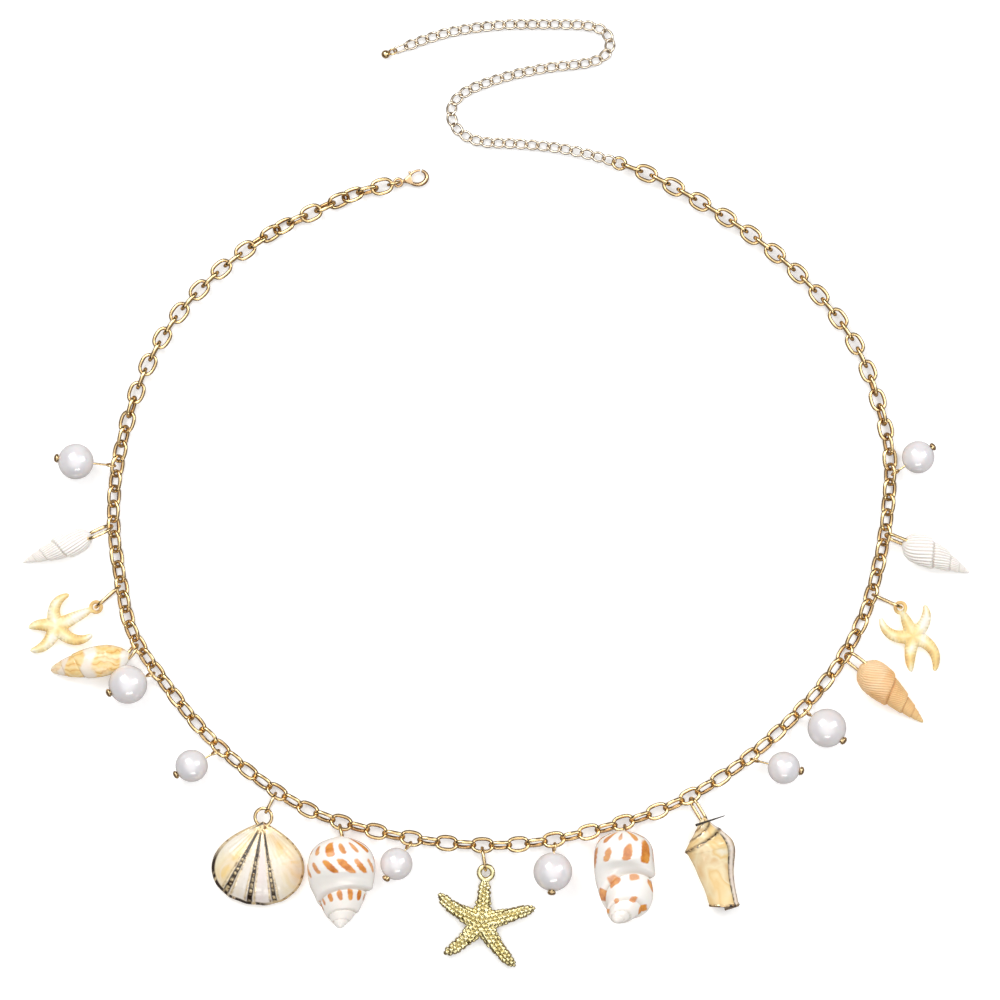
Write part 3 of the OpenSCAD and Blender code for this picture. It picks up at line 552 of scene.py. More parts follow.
whiteShell = mattShell("whiteShell", (0.56, 0.47, 0.4), [
    (0.2, 1, 0.97, 0.94), (0.5, 1, 0.99, 0.97), (0.8, 1, 0.97, 0.93)], 220, 0.42)
peachShell = mattShell("peachShell", (0.62, 0.29, 0.1), [
    (0.2, 0.94, 0.59, 0.27), (0.45, 0.97, 0.73, 0.45), (0.62, 0.93, 0.57, 0.26),
    (0.85, 0.93, 0.66, 0.31)], 130, 0.4)
glossy, colour, fine = shellRecipe("amberShell", (0.42, 0.17, 0.05), [
    (0.2, 0.93, 0.86, 0.74), (0.5, 0.94, 0.9, 0.82), (0.8, 0.9, 0.78, 0.66)], 200)
streak = glossy.node("TexWave", {"wave_type": "BANDS", "bands_direction": "Y"}, {
    "Vector": glossy.where, "Scale": 160, "Distortion": 9, "Detail": 2,
    "Detail Scale": 1.5}, 1)
amber = glossy.ramp(streak, [
    (0, 0.78, 0.42, 0.12), (0.08, 0.9, 0.6, 0.22), (0.6, 0.94, 0.68, 0.28),
    (1, 0.96, 0.74, 0.38)])
amberShell = glossy.finish(
    Base_Color=glossy.blend(glossy.mark("paint") * 1.1, colour, amber),
    Roughness=0.2 + fine * 0.08, Normal=glossy.bump(fine, 0.00002, 0.4),
    Coat_Weight=0.4, Coat_Roughness=0.06, Subsurface_Weight=0.05, Subsurface_Scale=0.001)

for node, material, slotName, paint in (
        ("white_shell_left", whiteShell, "shell_white", None),
        ("white_shell_right", whiteShell, "shell_white", None),
        ("peach_shell", peachShell, "shell_peach", None),
        ("amber_shell", amberShell, "shell_amber", amberPaint)):
    worn(spiralShell(node, "_ribs", shellForms[node], paint), material, slotName, node)

# broad spotted shells
print("spotted shells")
spottedCommon = {
    "around": 216, "along": 150, "ribs": 12, "slant": 0.5, "ribSharp": 1.2, "ribDepth": 0,
    "ribInk": 0, "growth": 0.006,
}
spottedForms = {
    # reach, climb and drift: the shell's middle line along, up and aside
    "spotted_shell_left": {
        "width": 20.3, "height": 16.2, "firstSuture": 0.63, "shrink": 0.5, "step": 0.12,
        "sutureDepth": 0.1, "sutureInk": 0.55, "seed": 6, "lean": 0.5,
        "reach": [(0, 0), (0.3, 0.3), (0.6, 0.625), (0.8, 0.83), (1, 0.985)],
        "climb": [(0, 8.1), (0.4, 8.1), (0.62, 7.6), (0.8, 7.6), (1, 8.4)],
        "drift": [(0, 0), (1, 0)],
        "outline": [(0, 0), (0.012, 0.2), (0.04, 0.46), (0.09, 0.7), (0.17, 0.89), (0.28, 0.99),
                    (0.4, 1), (0.52, 0.92), (0.6, 0.8), (0.68, 0.67), (0.77, 0.52),
                    (0.84, 0.38), (0.92, 0.22), (0.985, 0.09), (1, 0)]},
    "spotted_shell_right": {
        "width": 17.8, "height": 15.6, "firstSuture": 0.56, "shrink": 0.46, "step": 0.16,
        "sutureDepth": 0.08, "sutureInk": 0.6, "seed": 7, "lean": 1, "moved": (1.9, 0, 0),
        "reach": [(0, 0), (0.3, 0.31), (0.5, 0.56), (0.66, 0.73), (0.84, 0.86), (1, 0.95)],
        "climb": [(0, 7.8), (0.4, 7.8), (0.66, 9.2), (0.84, 11.6), (1, 14.4)],
        "drift": [(0, 0), (0.45, 0.4), (0.66, 1.3), (0.84, -0.6), (1, -2.4)],
        "outline": [(0, 0), (0.012, 0.26), (0.04, 0.54), (0.09, 0.78), (0.17, 0.94), (0.28, 1),
                    (0.44, 0.99), (0.56, 0.94), (0.66, 0.82), (0.76, 0.63), (0.84, 0.47),
                    (0.92, 0.29), (0.985, 0.1), (1, 0)]},
}
spotRows = {
    # rows of spots: middle along the shell, half length, count, shift, half width as a share, lean
    "spotted_shell_left": {"climb": 0.2, "rows": [
        (0.125, 0.062, 13, 0.3, 0.26, 3.2), (0.345, 0.095, 13, 0.55, 0.24, 3.6),
        (0.68, 0.048, 13, 0.2, 0.26, 2.2)]},
    "spotted_shell_right": {"climb": 0.12, "rows": [
        (0.055, 0.055, 9, 0.1, 0.24, -0.6), (0.25, 0.115, 9, 0.42, 0.25, -1),
        (0.6, 0.046, 7, 0.1, 0.36, -0.4), (0.8, 0.026, 6, 0.6, 0.24, 0)]},
}


def spotPaint(spots):
    def paint(u, v):
        most = 0
        for middle, half, count, shift, wide, lean in spots["rows"]:
            slid = v - middle - spots["climb"] * (u - 0.25)
            slid += 0.014 * wavy(u * 22, v * 9, middle * 50)
            cell = u * count + shift + lean * slid
            number = floor(cell) % count
            odd = wavy(number * 3.7, middle * 41, 2.5)
            across = abs(cell - floor(cell) - 0.5 + 0.1 * odd) - wide * (1 + 0.7 * odd)
            across += 0.06 * wavy(u * 60, v * 30, 8)
            across = abs((across + wide) / wide)
            lengthwise = abs(slid) / (half * (1 + 0.5 * odd))
            off = (across ** 2.6 + lengthwise ** 2.6) ** (1 / 2.6)
            most = max(most, (1 - ease(off, 0.88, 1.12)) * (0.95 + 0.3 * odd))
        return min(1, most)
    return paint


glazed, colour, fine = shellRecipe("spottedShell", (0.5, 0.36, 0.24), [
    (0.2, 0.97, 0.93, 0.87), (0.5, 0.97, 0.95, 0.92), (0.85, 0.94, 0.89, 0.84)], 90)
rust = glazed.ramp(glazed.grain(420), [
    (0.3, 0.58, 0.17, 0.03), (0.55, 0.76, 0.29, 0.05), (0.8, 0.86, 0.42, 0.08)])
spottedShell = glazed.finish(
    Base_Color=glazed.blend(glazed.mark("paint"), colour, rust),
    Roughness=0.22 + fine * 0.08, Normal=glazed.bump(fine, 0.00002, 0.3),
    Coat_Weight=0.35, Coat_Roughness=0.08, Subsurface_Weight=0.06, Subsurface_Scale=0.0015)
for node, form in spottedForms.items():
    shell = spiralShell(node, "_whorls", {**spottedCommon, **form}, spotPaint(spotRows[node]))
    worn(shell, spottedShell, "shell_spotted", node)


def tube(mesh, path, radii, sides, closed):
    # circles along a path, each joined to the next; radii are pairs of across and upward
    loops = []
    count = len(path)
    for k, at in enumerate(path):
        before = path[k - 1] if k or closed else path[0]
        after = path[(k + 1) % count] if k < count - 1 or closed else path[-1]
        way = (after - before).normalized()
        across = Vector((0, 0, 1)).cross(way).normalized()
        up = way.cross(across)
        wide, tall = radii[k]
        turn = Matrix((across * wide, up * tall, way)).transposed().to_4x4()
        made = bmesh.ops.create_circle(
            mesh, segments=sides, radius=1, matrix=Matrix.Translation(at) @ turn)["verts"]
        loops.append(list({e for v in made for e in v.link_edges}))
    for first, second in zip(loops, loops[1:] + (loops[:1] if closed else [])):
        bmesh.ops.bridge_loops(mesh, edges=first + second)
    if not closed:
        for end in (loops[0], loops[-1]):
            bmesh.ops.contextual_create(mesh, geom=end)


def tubed(name, tubes, voxel=None, rounds=0):
    # tubes as one piece, with a single skin if a voxel size is given
    mesh = bmesh.new()
    for path, radii, sides, closed in tubes:
        tube(mesh, path, radii, sides, closed)
    bmesh.ops.recalc_face_normals(mesh, faces=mesh.faces)
    piece = meshObject(name, mesh)
    if voxel:
        skin = piece.modifiers.new("skin", "REMESH")
        skin.mode, skin.voxel_size = "VOXEL", voxel
        softer = piece.modifiers.new("softer", "SMOOTH")
        softer.factor, softer.iterations = 0.6, rounds
        graph = bpy.context.evaluated_depsgraph_get()
        data = bpy.data.meshes.new_from_object(piece.evaluated_get(graph))
        piece.modifiers.clear()
        piece.data = data
    return piece


def angles(count):
    return (2 * pi * k / count for k in range(count))


# pearls, drilled for their pins
print("pearls")
pearlSettings = {
    "count": 8, "unevenness": 0.006, "hole": 0.42 * mm, "dimple": 0.5 * mm,
    "cap": (1.3 * mm, 1.3 * mm, 0.8 * mm), "capPlace": 0.985, "headPoints": 40,
}


def pinLine(number):
    # the pearl's middle, with Z towards the head of its pin, its radius, and how far the head is
    low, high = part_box("pearl_%d" % number)
    middle = (low + high) / 2
    pin = points("pearl_pin_%d" % number)
    eye = pin[((pin - numpy.array(middle)) ** 2).sum(1).argmax()]
    outward = (pin @ (numpy.array(middle) - eye)).argsort()
    way = Vector(pin[outward[-pearlSettings["headPoints"]:]].mean(0)) - middle
    turn = way.to_track_quat("Z", "Y").to_matrix().to_4x4()
    return Matrix.Translation(middle) @ turn, (high.x - low.x) / 2, way.length


def drilledPearl(number):
    s = pearlSettings
    place, radius, reach = pinLine(number)
    mesh = bmesh.new()
    bmesh.ops.create_uvsphere(mesh, u_segments=72, v_segments=56, radius=radius)
    for v in mesh.verts:
        wave = noise.noise(v.co.normalized() * 2.2 + Vector((number, 0, 0)))
        v.co *= 1 + s["unevenness"] * (wave - 0.4)
        aside = hypot(v.co.x, v.co.y)
        dimple = 1 - ease(aside, s["hole"] * 0.8, s["hole"] * 1.5)
        v.co.z *= 1 - s["dimple"] / radius * dimple
    bmesh.ops.transform(mesh, matrix=place, verts=mesh.verts)
    return meshObject("pearl_%d_bead" % number, mesh)


def pinCaps():
    # the rounded heads that hold the pearls on their pins
    mesh = bmesh.new()
    flat = Matrix.Diagonal((*pearlSettings["cap"], 1))
    for number in pearlNumbers:
        place, radius, reach = pinLine(number)
        head = Matrix.Translation((0, 0, reach * pearlSettings["capPlace"]))
        bmesh.ops.create_uvsphere(
            mesh, u_segments=28, v_segments=18, radius=1, matrix=place @ head @ flat)
    return meshObject("pearl_pin_caps", mesh)


pearlNumbers = range(1, pearlSettings["count"] + 1)
nacre = Recipe("pearlNacre")
clouds = nacre.grain(150, 2)
fine = nacre.grain(1800)
lustre = nacre.ramp(clouds, [
    (0.3, 0.74, 0.73, 0.76), (0.48, 0.81, 0.79, 0.82), (0.62, 0.84, 0.8, 0.81),
    (0.8, 0.76, 0.76, 0.81)])
pearlNacre = nacre.finish(
    Base_Color=nacre.blend(fine.step(0.6, 0.8) * 0.2, lustre, (0.74, 0.72, 0.75)),
    Roughness=0.34 + clouds * 0.08, Normal=nacre.bump(fine, 0.000012, 0.35),
    Coat_Weight=1, Coat_Roughness=0.15, Coat_IOR=2.1, Subsurface_Weight=0.08,
    Subsurface_Scale=0.002, Sheen_Weight=0.12, Sheen_Roughness=0.4)
for number in pearlNumbers:
    worn(drilledPearl(number), pearlNacre, "pearl", "pearl_%d" % number)
worn(pinCaps(), metals["cap"], "pin_metal")

# starfish: five tapered arms grown together
print("starfish")
creamCommon = {"reach": 11.5, "height": 2.6, "ringWide": 4.4, "wire": 1.2}
starForms = {
    # sizes in mm; arms: direction from the loop's line, share of the reach, curl
    "gold_starfish": {
        "reach": 16.5, "height": 3, "ringWide": 5.8, "wire": 1.6, "root": 0.165,
        "arms": [(36, 1, 6), (108, 1, 2), (180, 0.8, 0), (252, 0.93, -10), (324, 0.88, -8)]},
    "cream_starfish_left": {
        **creamCommon, "root": 0.21, "out": 4,
        "arms": [(42, 0.93, -24), (104, 0.97, 36), (180, 1.05, 0), (262, 0.9, -38),
                 (324, 0.72, 12)]},
    "cream_starfish_right": {
        **creamCommon, "root": 0.205,
        "arms": [(42, 1.08, -34), (108, 0.86, 26), (180, 0.7, 0), (254, 0.98, -36),
                 (324, 0.93, 8)]},
}
starSettings = {
    "loopHeight": 2.3, "loopSteps": 40, "steps": 16, "point": 0.35, "voxel": 0.2, "softer": 5,
}
pebbles = {"row": 1.3, "step": 1.35, "rise": 0.72, "sunk": 0.18}
poreSettings = {"ridge": 0.2, "depth": 0.1, "along": 6.5, "across": 1.5}
armTaper = [(0, 1), (0.2, 0.94), (0.45, 0.82), (0.7, 0.68), (0.88, 0.5), (1, 0.3)]


def starPlace(node, form):
    cloud = points(node)
    top = Vector(cloud[cloud[:, 2].argmax()])
    towards = numpy.array(Vector(points(node + "_ring").mean(0)) - top)[:2]
    towards /= numpy.linalg.norm(towards)
    far = (cloud[:, :2] - numpy.array(top)[:2]) @ towards
    out = form.get("out", 0)
    loop = Vector(cloud[far > (form["arms"][2][1] * form["reach"] - out + 0.4) * mm].mean(0))
    way = levelWay(loop, top)
    # the middle may lie farther out, on a longer arm to the loop
    top += way * out * mm
    return laid(top.x, top.y, 0, way) @ Matrix.Scale(mm, 4)


def nearestArm(p, lines):
    # how far from the nearest arm's middle line, as a share, then along and aside of it
    steps = starSettings["steps"]
    best, along, aside = 9, 0, 0
    for line, radii in lines:
        for k in range(steps + 1):
            stretch = (line[k + 1] - line[k]).xy
            gap = p.xy - line[k].xy
            t = min(max(gap.dot(stretch) / stretch.length_squared, 0), 1)
            near = (gap - stretch * t).length / max(radii[k][0], 0.3)
            if near < best:
                best, along = near, (k + t) / (steps + 1) * line[steps].length
                aside = (stretch.x * gap.y - stretch.y * gap.x) / stretch.length
    return best, along, aside


def pebbleRelief(best, along, aside):
    # rise and shade of rows of pebbles
    row = round(aside / pebbles["row"])
    step = along / pebbles["step"] + 0.5 * (row % 2)
    size = 0.55 + 0.28 * wavy(round(step) * 3.1, row * 5.7, 1)
    off = hypot(aside / pebbles["row"] - row, (step - round(step)) * 1.05) / size
    pebble = sqrt(max(0, 1 - off * off))
    return pebbles["rise"] * pebble - pebbles["sunk"], 1 - pebble


def poreRelief(best, along, aside):
    # rise and shade of a ridge along each arm with pores beside it
    pores = 0.5 + 0.5 * cos(poreSettings["along"] * along + poreSettings["across"] * aside)
    pores *= ease(best, 0.2, 0.8)
    ridge = poreSettings["ridge"] * (1 - ease(best, 0, 0.4))
    return ridge - poreSettings["depth"] * pores, pores


def starfish(node):
    form, steps, loopHeight = starForms[node], starSettings["steps"], starSettings["loopHeight"]
    reach = form["reach"]
    loopMiddle = (form["ringWide"] - form["wire"]) / 2
    toLoop = loopMiddle + form["arms"][2][1] * reach
    fall = (loopHeight - form["height"] / 2 - 0.1) / (toLoop + reach)
    lines = []
    for direction, share, curl in form["arms"]:
        line, radii = [], []
        for k in range(steps + 1):
            s = k / steps
            turn = radians(direction + curl * s * s)
            x, y = reach * share * s * cos(turn), reach * share * s * sin(turn)
            wide = reach * form["root"] * alongRows(armTaper, s)
            line.append(Vector((x, y, loopHeight - fall * (x + toLoop))))
            radii.append((wide, min(form["height"] / 2, wide * 0.95)))
        end = line[-1] - line[-2]
        line.append(line[-1] + end.normalized() * starSettings["point"])
        radii.append((radii[-1][0] * 0.45, radii[-1][1] * 0.45))
        lines.append((line, radii))
    loop = [Vector((loopMiddle * cos(a) - toLoop, loopMiddle * sin(a), loopHeight))
            for a in angles(starSettings["loopSteps"])]
    tubes = [(*arm, 20, False) for arm in lines]
    tubes.append((loop, [(form["wire"] / 2, form["wire"] / 2)] * len(loop), 14, True))
    piece = tubed(node + "_arms", tubes, starSettings["voxel"], starSettings["softer"])
    mesh = bmesh.new()
    mesh.from_mesh(piece.data)
    relief = mesh.verts.layers.float.new("relief")
    paint = mesh.verts.layers.float.new("paint")
    pattern = pebbleRelief if node == "gold_starfish" else poreRelief
    mesh.normal_update()
    for v in mesh.verts:
        best, along, aside = nearestArm(v.co, lines)
        upper = ease(v.normal.z, -0.3, 0.2) * ease(
            v.co.x, loopMiddle - toLoop, loopMiddle - toLoop + 1.6)
        rise, shade = pattern(best, along, aside)
        v.co += v.normal * rise * upper
        v[relief] = shade * upper
        v[paint] = best
    bmesh.ops.transform(mesh, matrix=starPlace(node, form), verts=mesh.verts)
    piece.data = meshData(piece.name, mesh)
    return piece


pebbled = Recipe("starfishGold")
fine = pebbled.grain(1500)
patches = pebbled.grain(200, 2)
shade = pebbled.mark("relief").step(0.45, 1) * 0.75 + fine.step(0.62, 0.8) * 0.1
starfishGold = pebbled.finish(
    Base_Color=pebbled.blend(shade, pebbled.ramp(patches, [
        (0.3, 0.84, 0.73, 0.36), (0.6, 0.92, 0.83, 0.48)]), (0.22, 0.15, 0.04)),
    Metallic=1, Roughness=0.22 + fine * 0.1, Normal=pebbled.bump(fine, 0.00003, 0.5))
worn(starfish("gold_starfish"), starfishGold, "starfish_metal", "gold_starfish")

chalky = Recipe("starfishCream")
fine = chalky.grain(1700)
patches = chalky.grain(170, 2)
sand = chalky.ramp(patches * 0.85 + chalky.mark("paint") * 0.16, [
    (0.34, 0.98, 0.94, 0.82), (0.45, 0.97, 0.86, 0.54), (0.56, 0.92, 0.7, 0.3),
    (0.7, 0.8, 0.54, 0.22)])
speckled = chalky.blend(fine.step(0.58, 0.75) * 0.25, sand, (0.7, 0.5, 0.24))
starfishCream = chalky.finish(
    Base_Color=chalky.blend(chalky.mark("relief") * 0.45, speckled, (0.5, 0.36, 0.22)),
    Roughness=0.55 + fine * 0.15, Normal=chalky.bump(fine, 0.00006, 0.6),
    Subsurface_Weight=0.08, Subsurface_Scale=0.001)
for node in ("cream_starfish_left", "cream_starfish_right"):
    worn(starfish(node), starfishCream, "starfish_cream", node)

# scallop: a ribbed dome with three dark furrows and a gilt rim
print("scallop and cone shell")
scallopSettings = {
    # sizes in mm; furrows: share across the fan and width; roll: where the rim turns under
    "length": 26, "rise": 7, "wall": 1.4, "beak": 3.2, "half": 64, "middle": 0.52,
    "furrows": [(-0.37, 1.3), (-0.085, 1.15), (0.2, 1)], "roll": (0.5, 0.56),
    "around": 300, "along": 130, "compass": 4001,
}
gildedMarks = ("relief", "gilt", "share", "reach")


def scallopPlace():
    cloud = points("scallop")
    apex = Vector(cloud[cloud[:, 2].argmax()])
    ring = Vector(points("scallop_ring").mean(0))
    way = levelWay(ring, apex)
    beak = apex - way * scallopSettings["middle"] * scallopSettings["length"] * mm
    return laid(beak.x, beak.y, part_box("scallop")[0].z, way) @ Matrix.Scale(mm, 4)


def fanEdge(a):
    # edge of the fan in its own plane, for a from -1 to 1 across it
    s = scallopSettings
    reach = s["length"] * sqrt(max(0, 1 - abs(a) ** (2.4 if a < 0 else 3)))
    turn = -a * radians(s["half"])
    return reach * (1 - 0.004 * cos(a * 31)) * cos(turn), reach * sin(turn)


def scallopRelief(x, y, out):
    # height to add, and the marks for furrows, gilding and ribs
    s = scallopSettings
    share = degrees(atan2(y, x)) / s["half"]
    reach = hypot(x, y) / s["length"]
    grown = ease(reach, 0.03, 0.1)
    dark, gilt = 0, 0
    for k, (middle, wide) in enumerate(s["furrows"]):
        wander = 0.006 * wavy(reach * 14, k * 7, 1)
        apart = abs(share - middle - wander) * radians(s["half"]) * reach * s["length"]
        off = apart / (wide * (0.26 + 0.74 * reach ** 1.5))
        dark = max(dark, (1 - ease(off, 0.65, 1)) * grown)
        line = exp(-((off - 1.4) / 0.36) ** 2) * grown
        fleck = 0.5 + 0.5 * sin(reach * 92 + 3 * wavy(reach * 20, share * 9, k))
        beads = ease(reach, 0.3, 0.55) * fleck * (1 - ease(off, 0.25, 0.65))
        beads *= ease(wavy(reach * 16, k * 3.1, 4), -0.32, 0.02)
        gilt = max(gilt, line * (0.7 + 0.3 * fleck), 0.95 * beads)
    # the rim is broader and near black along part of the lower left, where it lies lowest
    lowerLeft = bandOf(share, -0.85, 0.15, 0.12)
    rim = ease(out, 0.935 - 0.02 * lowerLeft, 0.965 - 0.02 * lowerLeft)
    gilt = max(gilt, 1 - ease(reach, 0.1, 0.17))
    leftRimDark = rim * lowerLeft * ease(wavy(share * 17, 2, 7), -0.35, -0.05)
    ribs = cos(share * 62)
    height = -0.55 * dark + 0.22 * gilt + 0.05 * ribs * grown * (1 - dark) + 0.12 * rim
    height += 0.04 * wavy(reach * 30, share * 4, 3)
    return height, max(dark, leftRimDark), max(gilt, rim) * (1 - leftRimDark), share, reach


def scallopShell():
    s = scallopSettings
    place = scallopPlace()
    cx = s["middle"] * s["length"]
    rimStart, rimEnd = s["roll"]
    # the directions from the fan's middle to its edge, for each step across it
    steps = numpy.linspace(1, -1, s["compass"])
    edge = numpy.array([fanEdge(a) for a in steps])
    ways = numpy.unwrap(numpy.arctan2(edge[:, 1], edge[:, 0] - cx))

    def shape(u, v):
        # from the dome's top out to the rim, round it, and back beneath
        a = float(numpy.interp(ways[0] + u * (ways[-1] - ways[0]), ways, steps))
        edgeX, edgeY = fanEdge(a)
        above = v < rimEnd
        f = min(1, v / rimStart) if above else max(0, (1 - v) / (1 - rimEnd))
        f = sin(f * pi / 2) if above else f
        pull = 0.965 + 0.035 * f if above else 0.94
        x, y = cx + f * pull * (edgeX - cx), f * pull * edgeY
        edgeZ = max(s["wall"], s["beak"] - x * 0.45)
        low = max(0, edgeZ - s["wall"])
        dome = (1 - f ** 2.2) ** 0.7 if f < 1 else 0
        if v <= rimStart:
            height, *marks = scallopRelief(x, y, f)
            z = edgeZ + (s["rise"] - edgeZ) * dome + height * (1 if f < 0.9 else 0.8)
        elif above:
            roll = (v - rimStart) / (rimEnd - rimStart)
            z = edgeZ * (1 - roll) + low * roll
            marks = 0, 1, 0, 1
        else:
            z = low + (s["rise"] - s["wall"] - low) * dome
            marks = 0, 0, 0, 0.3
        return place @ Vector((x, y, z)), marks

    return wrapped("scallop_fan", s, shape, gildedMarks)


def gildedRecipe(name):
    made = Recipe(name)
    return made, made.grain(1500), {key: made.mark(key) for key in gildedMarks}


def gildedFinish(made, fine, ground, gilded, patches, colours, metal, rough, coat):
    gilded = made.node("Clamp", {}, {0: gilded})
    return made.finish(
        Base_Color=made.blend(gilded, ground, made.blend(patches, *colours)),
        Metallic=gilded * metal, Roughness=rough + fine * 0.1,
        Normal=made.bump(fine, 0.00003, 0.4), Coat_Weight=coat[0], Coat_Roughness=coat[1])


fan, fine, marks = gildedRecipe("scallopShell")
smoke = fan.grain(130, 3, 1.2)
sectors = fan.ramp(marks["share"] * 0.5 + 0.5 + (smoke - 0.5) * 0.1, [
    (0.06, 0.84, 0.79, 0.69), (0.16, 0.9, 0.8, 0.58), (0.24, 0.91, 0.67, 0.3),
    (0.31, 0.88, 0.85, 0.79), (0.38, 0.87, 0.78, 0.64), (0.45, 0.86, 0.81, 0.76),
    (0.52, 0.87, 0.76, 0.73), (0.6, 0.84, 0.79, 0.73), (0.7, 0.88, 0.76, 0.52),
    (0.8, 0.87, 0.6, 0.26), (0.88, 0.89, 0.78, 0.57), (0.96, 0.78, 0.58, 0.32)])
clouded = fan.blend(smoke.step(0.44, 0.6) * 0.5, sectors, (0.9, 0.85, 0.8))
tone = fan.blend((marks["reach"].step(0.05, 0.45) * -1 + 1) * 0.5, clouded, (0.82, 0.66, 0.46))
striped = fan.blend(fine.step(0.58, 0.76) * 0.2, tone, (0.7, 0.55, 0.38))
darkened = fan.blend(marks["relief"], striped, (0.022, 0.011, 0.006))
scallopPaint = gildedFinish(
    fan, fine, darkened, marks["gilt"], fan.grain(700, 2).step(0.54, 0.68),
    ((0.97, 0.76, 0.44), (0.28, 0.14, 0.05)), 0.45, 0.2, (0.45, 0.06))
worn(scallopShell(), scallopPaint, "shell_scallop", "scallop")

# cone shell: pointed above, square shoulders, a gilt lip down one side
coneSettings = {
    # sizes in mm; left, right: half width along the shell; lines, lip, groove: place and width
    "width": 15, "height": 10.8, "square": 0.86, "around": 200, "along": 140,
    "left": [(0, 0), (0.02, 0.14), (0.1, 0.36), (0.2, 0.68), (0.29, 0.97), (0.32, 1),
             (0.38, 0.94), (0.48, 0.83), (0.67, 0.69), (0.85, 0.6), (0.95, 0.57), (0.985, 0.52),
             (1, 0)],
    "right": [(0, 0), (0.02, 0.12), (0.1, 0.34), (0.18, 0.62), (0.27, 0.88), (0.34, 0.97),
              (0.42, 0.96), (0.64, 0.7), (0.8, 0.62), (0.93, 0.6), (0.985, 0.55), (1, 0)],
    "lines": [(0.325, 0.02), (0.215, 0.015), (0.13, 0.012)],
    "lip": (0.05, 0.018), "groove": (0.12, 0.014),
}


def bell(x, middle, wide):
    return exp(-((x - middle) / wide) ** 2)


def coneShell():
    s = coneSettings
    place, length = lyingPlace("cone_shell", blunt=True)
    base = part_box("cone_shell")[0].z / mm
    place = place @ Matrix.Scale(mm, 4)

    def shape(u, v):
        # the ends of the grid meet below
        u -= 0.25
        a = 2 * pi * u
        side = copysign(abs(cos(a)) ** s["square"], cos(a))
        up = copysign(abs(sin(a)) ** s["square"], sin(a))
        share = alongRows(s["right" if side > 0 else "left"], v)
        tall = min(alongRows(s["left"], v), 1)
        slanted = v + 0.085 * (side + 1) * (1 - ease(v, 0.4, 0.55))
        creases = [bell(slanted, *line) * ease(v, 0.015, 0.04) for line in s["lines"]]
        crease, shoulder = max(creases), creases[0]
        lip = bell(u, *s["lip"]) * ease(v, 0.16, 0.3)
        groove = bell(u, *s["groove"]) * ease(v, 0.14, 0.26)
        foot = ease(v, 0.945, 0.965)
        lumps = 0.05 * wavy(cos(a) * 1.6, v * 5, sin(a) * 1.6)
        r = 1 + 0.05 * lip - 0.07 * groove + 0.04 * crease + 0.035 * shoulder
        r += lumps * ease(v, 0.36, 0.6)
        middle = s["height"] / 2 * (1 if v < 0.36 else 0.35 + 0.65 * tall)
        # the foot is cut slanting, lower on the side of the lip
        reach = v * length / mm + (0.9 * side + 0.2) * ease(v, 0.6, 1)
        at = Vector((
            reach, share * r * side * s["width"] / 2,
            base + middle + tall * r * up * s["height"] / 2))
        fleck = ease(wavy(u * 30, v * 30, 2), -0.15, 0.1)
        gilt = max(crease * 0.95, shoulder * 0.9, lip * 0.85, foot)
        inked = max((crease + foot) * (1 - fleck), groove * (1 - 0.4 * fleck))
        return place @ at, (min(1, inked), min(1, gilt), u, v)

    return wrapped("cone_shell_body", s, shape, gildedMarks)


cone, fine, marks = gildedRecipe("coneShell")
clouds = cone.ramp(cone.grain(72, 2.5, 1), [
    (0.3, 0.95, 0.88, 0.72), (0.4, 0.92, 0.72, 0.38), (0.48, 0.86, 0.6, 0.26),
    (0.56, 0.93, 0.78, 0.5), (0.66, 0.8, 0.54, 0.26), (0.8, 0.92, 0.74, 0.42)])
rosy = cone.blend((marks["share"].step(0.1, 0.13) * -1 + 1) * 0.75, clouds, (0.93, 0.84, 0.8))
dusky = cone.blend(fine.step(0.6, 0.8) * 0.2, rosy, (0.6, 0.45, 0.3))
darkened = cone.blend(marks["relief"], dusky, (0.03, 0.016, 0.01))
conePaint = gildedFinish(
    cone, fine, darkened, marks["gilt"] - marks["relief"],
    cone.grain(600, 2).step(0.5, 0.62), ((0.86, 0.62, 0.34), (0.24, 0.12, 0.05)),
    0.9, 0.18, (0.5, 0.05))
worn(coneShell(), conePaint, "shell_cone", "cone_shell")

# the black pin across the cone shell's tip
pinSettings = {
    "ringwards": 2.6, "behind": 1.8, "raised": 3.9, "ahead": 1.4, "root": 0.42, "tip": 0.14,
    "steps": 8,
}
blackened = Recipe("blackPin")
fine = blackened.grain(1400)
blackPaint = blackened.finish(
    Base_Color=blackened.blend(fine, (0.015, 0.013, 0.012), (0.09, 0.075, 0.06)), Metallic=0.6,
    Roughness=0.28 + fine * 0.2, Normal=blackened.bump(fine, 0.00003, 0.5))


def taperedPin():
    # longer behind the shell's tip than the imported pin, and pointed in front
    s = pinSettings
    cloud = points("cone_shell_pin")
    low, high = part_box("cone_shell")
    shell = numpy.array((low + high) / 2)
    far = Vector(cloud[((cloud - shell) ** 2).sum(1).argmax()])
    near = Vector(cloud[((cloud - numpy.array(far)) ** 2).sum(1).argmax()])
    far.z = near.z = sum(corner.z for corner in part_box("cone_shell_pin")) / 2
    way = (far - near).normalized()
    ringwards = levelWay((low + high) / 2, Vector(points("cone_shell_ring").mean(0)))
    near, far = (end + ringwards * s["ringwards"] * mm for end in (near, far))
    start = near - way * s["behind"] * mm + Vector((0, 0, s["raised"] * mm))
    far.z += s["ahead"] * mm
    line, radii = [], []
    for k in range(s["steps"] + 1):
        line.append(start.lerp(far, k / s["steps"]))
        radii.append([(s["root"] + (s["tip"] - s["root"]) * k / s["steps"]) * mm] * 2)
    return tubed("black_pin_taper", [(line, radii, 12, False)])


worn(taperedPin(), blackPaint, "black_pin", "cone_shell_pin")

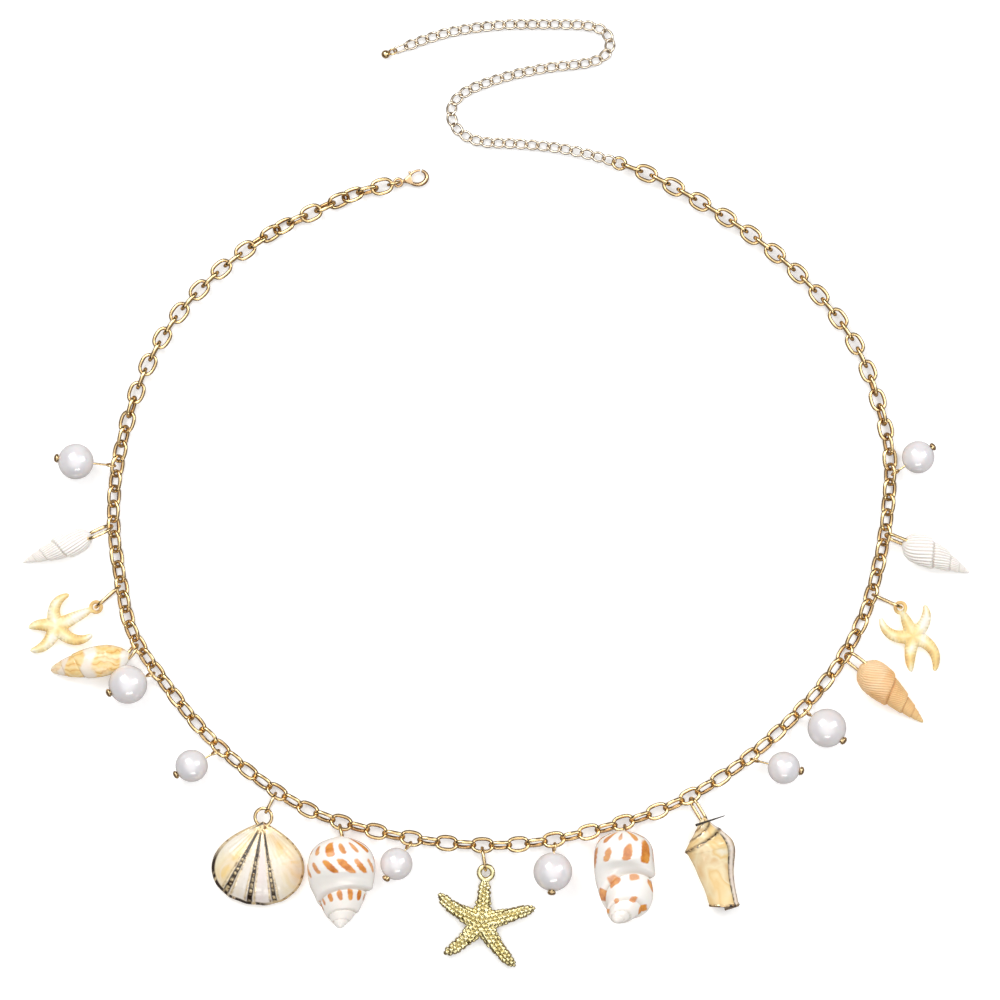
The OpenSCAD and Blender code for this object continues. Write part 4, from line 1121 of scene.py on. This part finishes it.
# lobster clasp: a rounded hook with its tail eye, and the lever that closes it
print("clasp")
claspSettings = {
    # sizes in mm, places on the hook's curve in degrees
    "reach": 5.7, "forward": 0.9, "ahead": 2.45, "behind": 3.05, "middle": 2.15,
    "halfWidth": 0.58, "halfTall": 1.12, "eye": 1.22, "wire": 0.8, "pivot": 168, "tip": 58,
    "leverTall": 0.42, "nub": 138, "cheek": 0.86, "cheekTall": 0.36, "sides": 20,
    "voxel": 0.09, "softer": 4,
}


def claspPlace():
    mounts = {mount["name"]: mount["pos_m"] for mount in frame["record"]["mounts"]}
    hook = Vector(mounts["clasp_hook"])
    way = hook - Vector(points("clasp_ring").mean(0))
    return laid(*hook, way) @ Matrix.Scale(mm, 4)


def arcLine(start, end, steps):
    s = claspSettings
    line = []
    for k in range(steps + 1):
        t = radians(start + (end - start) * k / steps)
        half = s["ahead"] if cos(t) > 0 else s["behind"]
        line.append(Vector((s["forward"] + half * cos(t), s["middle"] * sin(t), 0)))
    return line


def claspPiece(name, tubes):
    s = claspSettings
    tubes = [(path, radii, s["sides"], closed) for path, radii, closed in tubes]
    piece = tubed(name, tubes, s["voxel"], s["softer"])
    piece.data.transform(claspPlace())
    piece.data.polygons.foreach_set("use_smooth", [True] * len(piece.data.polygons))
    return piece


def claspBody():
    s = claspSettings
    hook = arcLine(s["pivot"] + 26, 360 + s["tip"], 40)
    radii = [(s["halfWidth"] * (0.8 + 0.45 * sin(pi * k / 40)),
              s["halfTall"] * (1 - 0.35 * (k / 40) ** 3)) for k in range(41)]
    eye = [Vector((s["eye"] * cos(t) - s["reach"], s["eye"] * sin(t), 0)) for t in angles(36)]
    tubes = [(hook, radii, False), (eye, [(s["wire"] / 2, s["wire"] / 2)] * len(eye), True)]
    for up in (s["cheek"], -s["cheek"]):
        rows = (-3.5, 0.6), (-3, 0.95), (-2.4, 1.3), (-1.8, 1.55), (-1.35, 1.65)
        cheek = [Vector((x, 0, up)) for x, wide in rows]
        tubes.append((cheek, [(wide, s["cheekTall"]) for x, wide in rows], False))
    # the neck stops short of the lever's slot
    neck = [Vector((x, 0, 0)) for x in (-s["reach"] + s["eye"], -4.1, -3.5, -2.9)]
    tubes.append((neck, [(0.4, 0.42), (0.5, 0.55), (0.72, 0.78), (0.95, 1)], False))
    return claspPiece("clasp_hook_body", tubes)


def claspLever():
    s = claspSettings
    arm = arcLine(s["pivot"], s["tip"] + 9, 24)
    tall = s["leverTall"]
    tubes = [(arm, [(0.5 - 0.16 * k / 24, tall) for k in range(25)], False)]
    root = arcLine(s["nub"], s["nub"], 1)[0]
    nub = [root + Vector((-0.25 * out, out, 0)) for out in (0.1, 0.5, 0.9, 1.15)]
    tubes.append((nub, [(0.4, tall), (0.34, tall), (0.4, tall), (0.26, 0.3)], False))
    return claspPiece("clasp_lever_arm", tubes)


worn(claspBody(), metals["clasp"], "clasp_metal", "clasp_body")
worn(claspLever(), metals["clasp"], "clasp_metal", "clasp_lever", body="lever")

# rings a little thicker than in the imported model, and the parts that keep their meshes
print("rings and pins")
ringSettings = {"fuller": 0.1}
for node in [name for name in nodes if name.endswith("_ring")] + ["scallop_link"]:
    wire = meshObject(node + "_wire", fullerCopy(node, ringSettings["fuller"]))
    worn(wire, metals["ring"], "ring_metal", node)
kept = {
    "extension": ["tail_link"],
    "ring": ["tail_ball"] + ["pearl_pin_%d" % number for number in pearlNumbers],
    "clasp": ["clasp_rivet"],
}
for name, members in kept.items():
    for member in members:
        painted(nodes[member], metals[name])
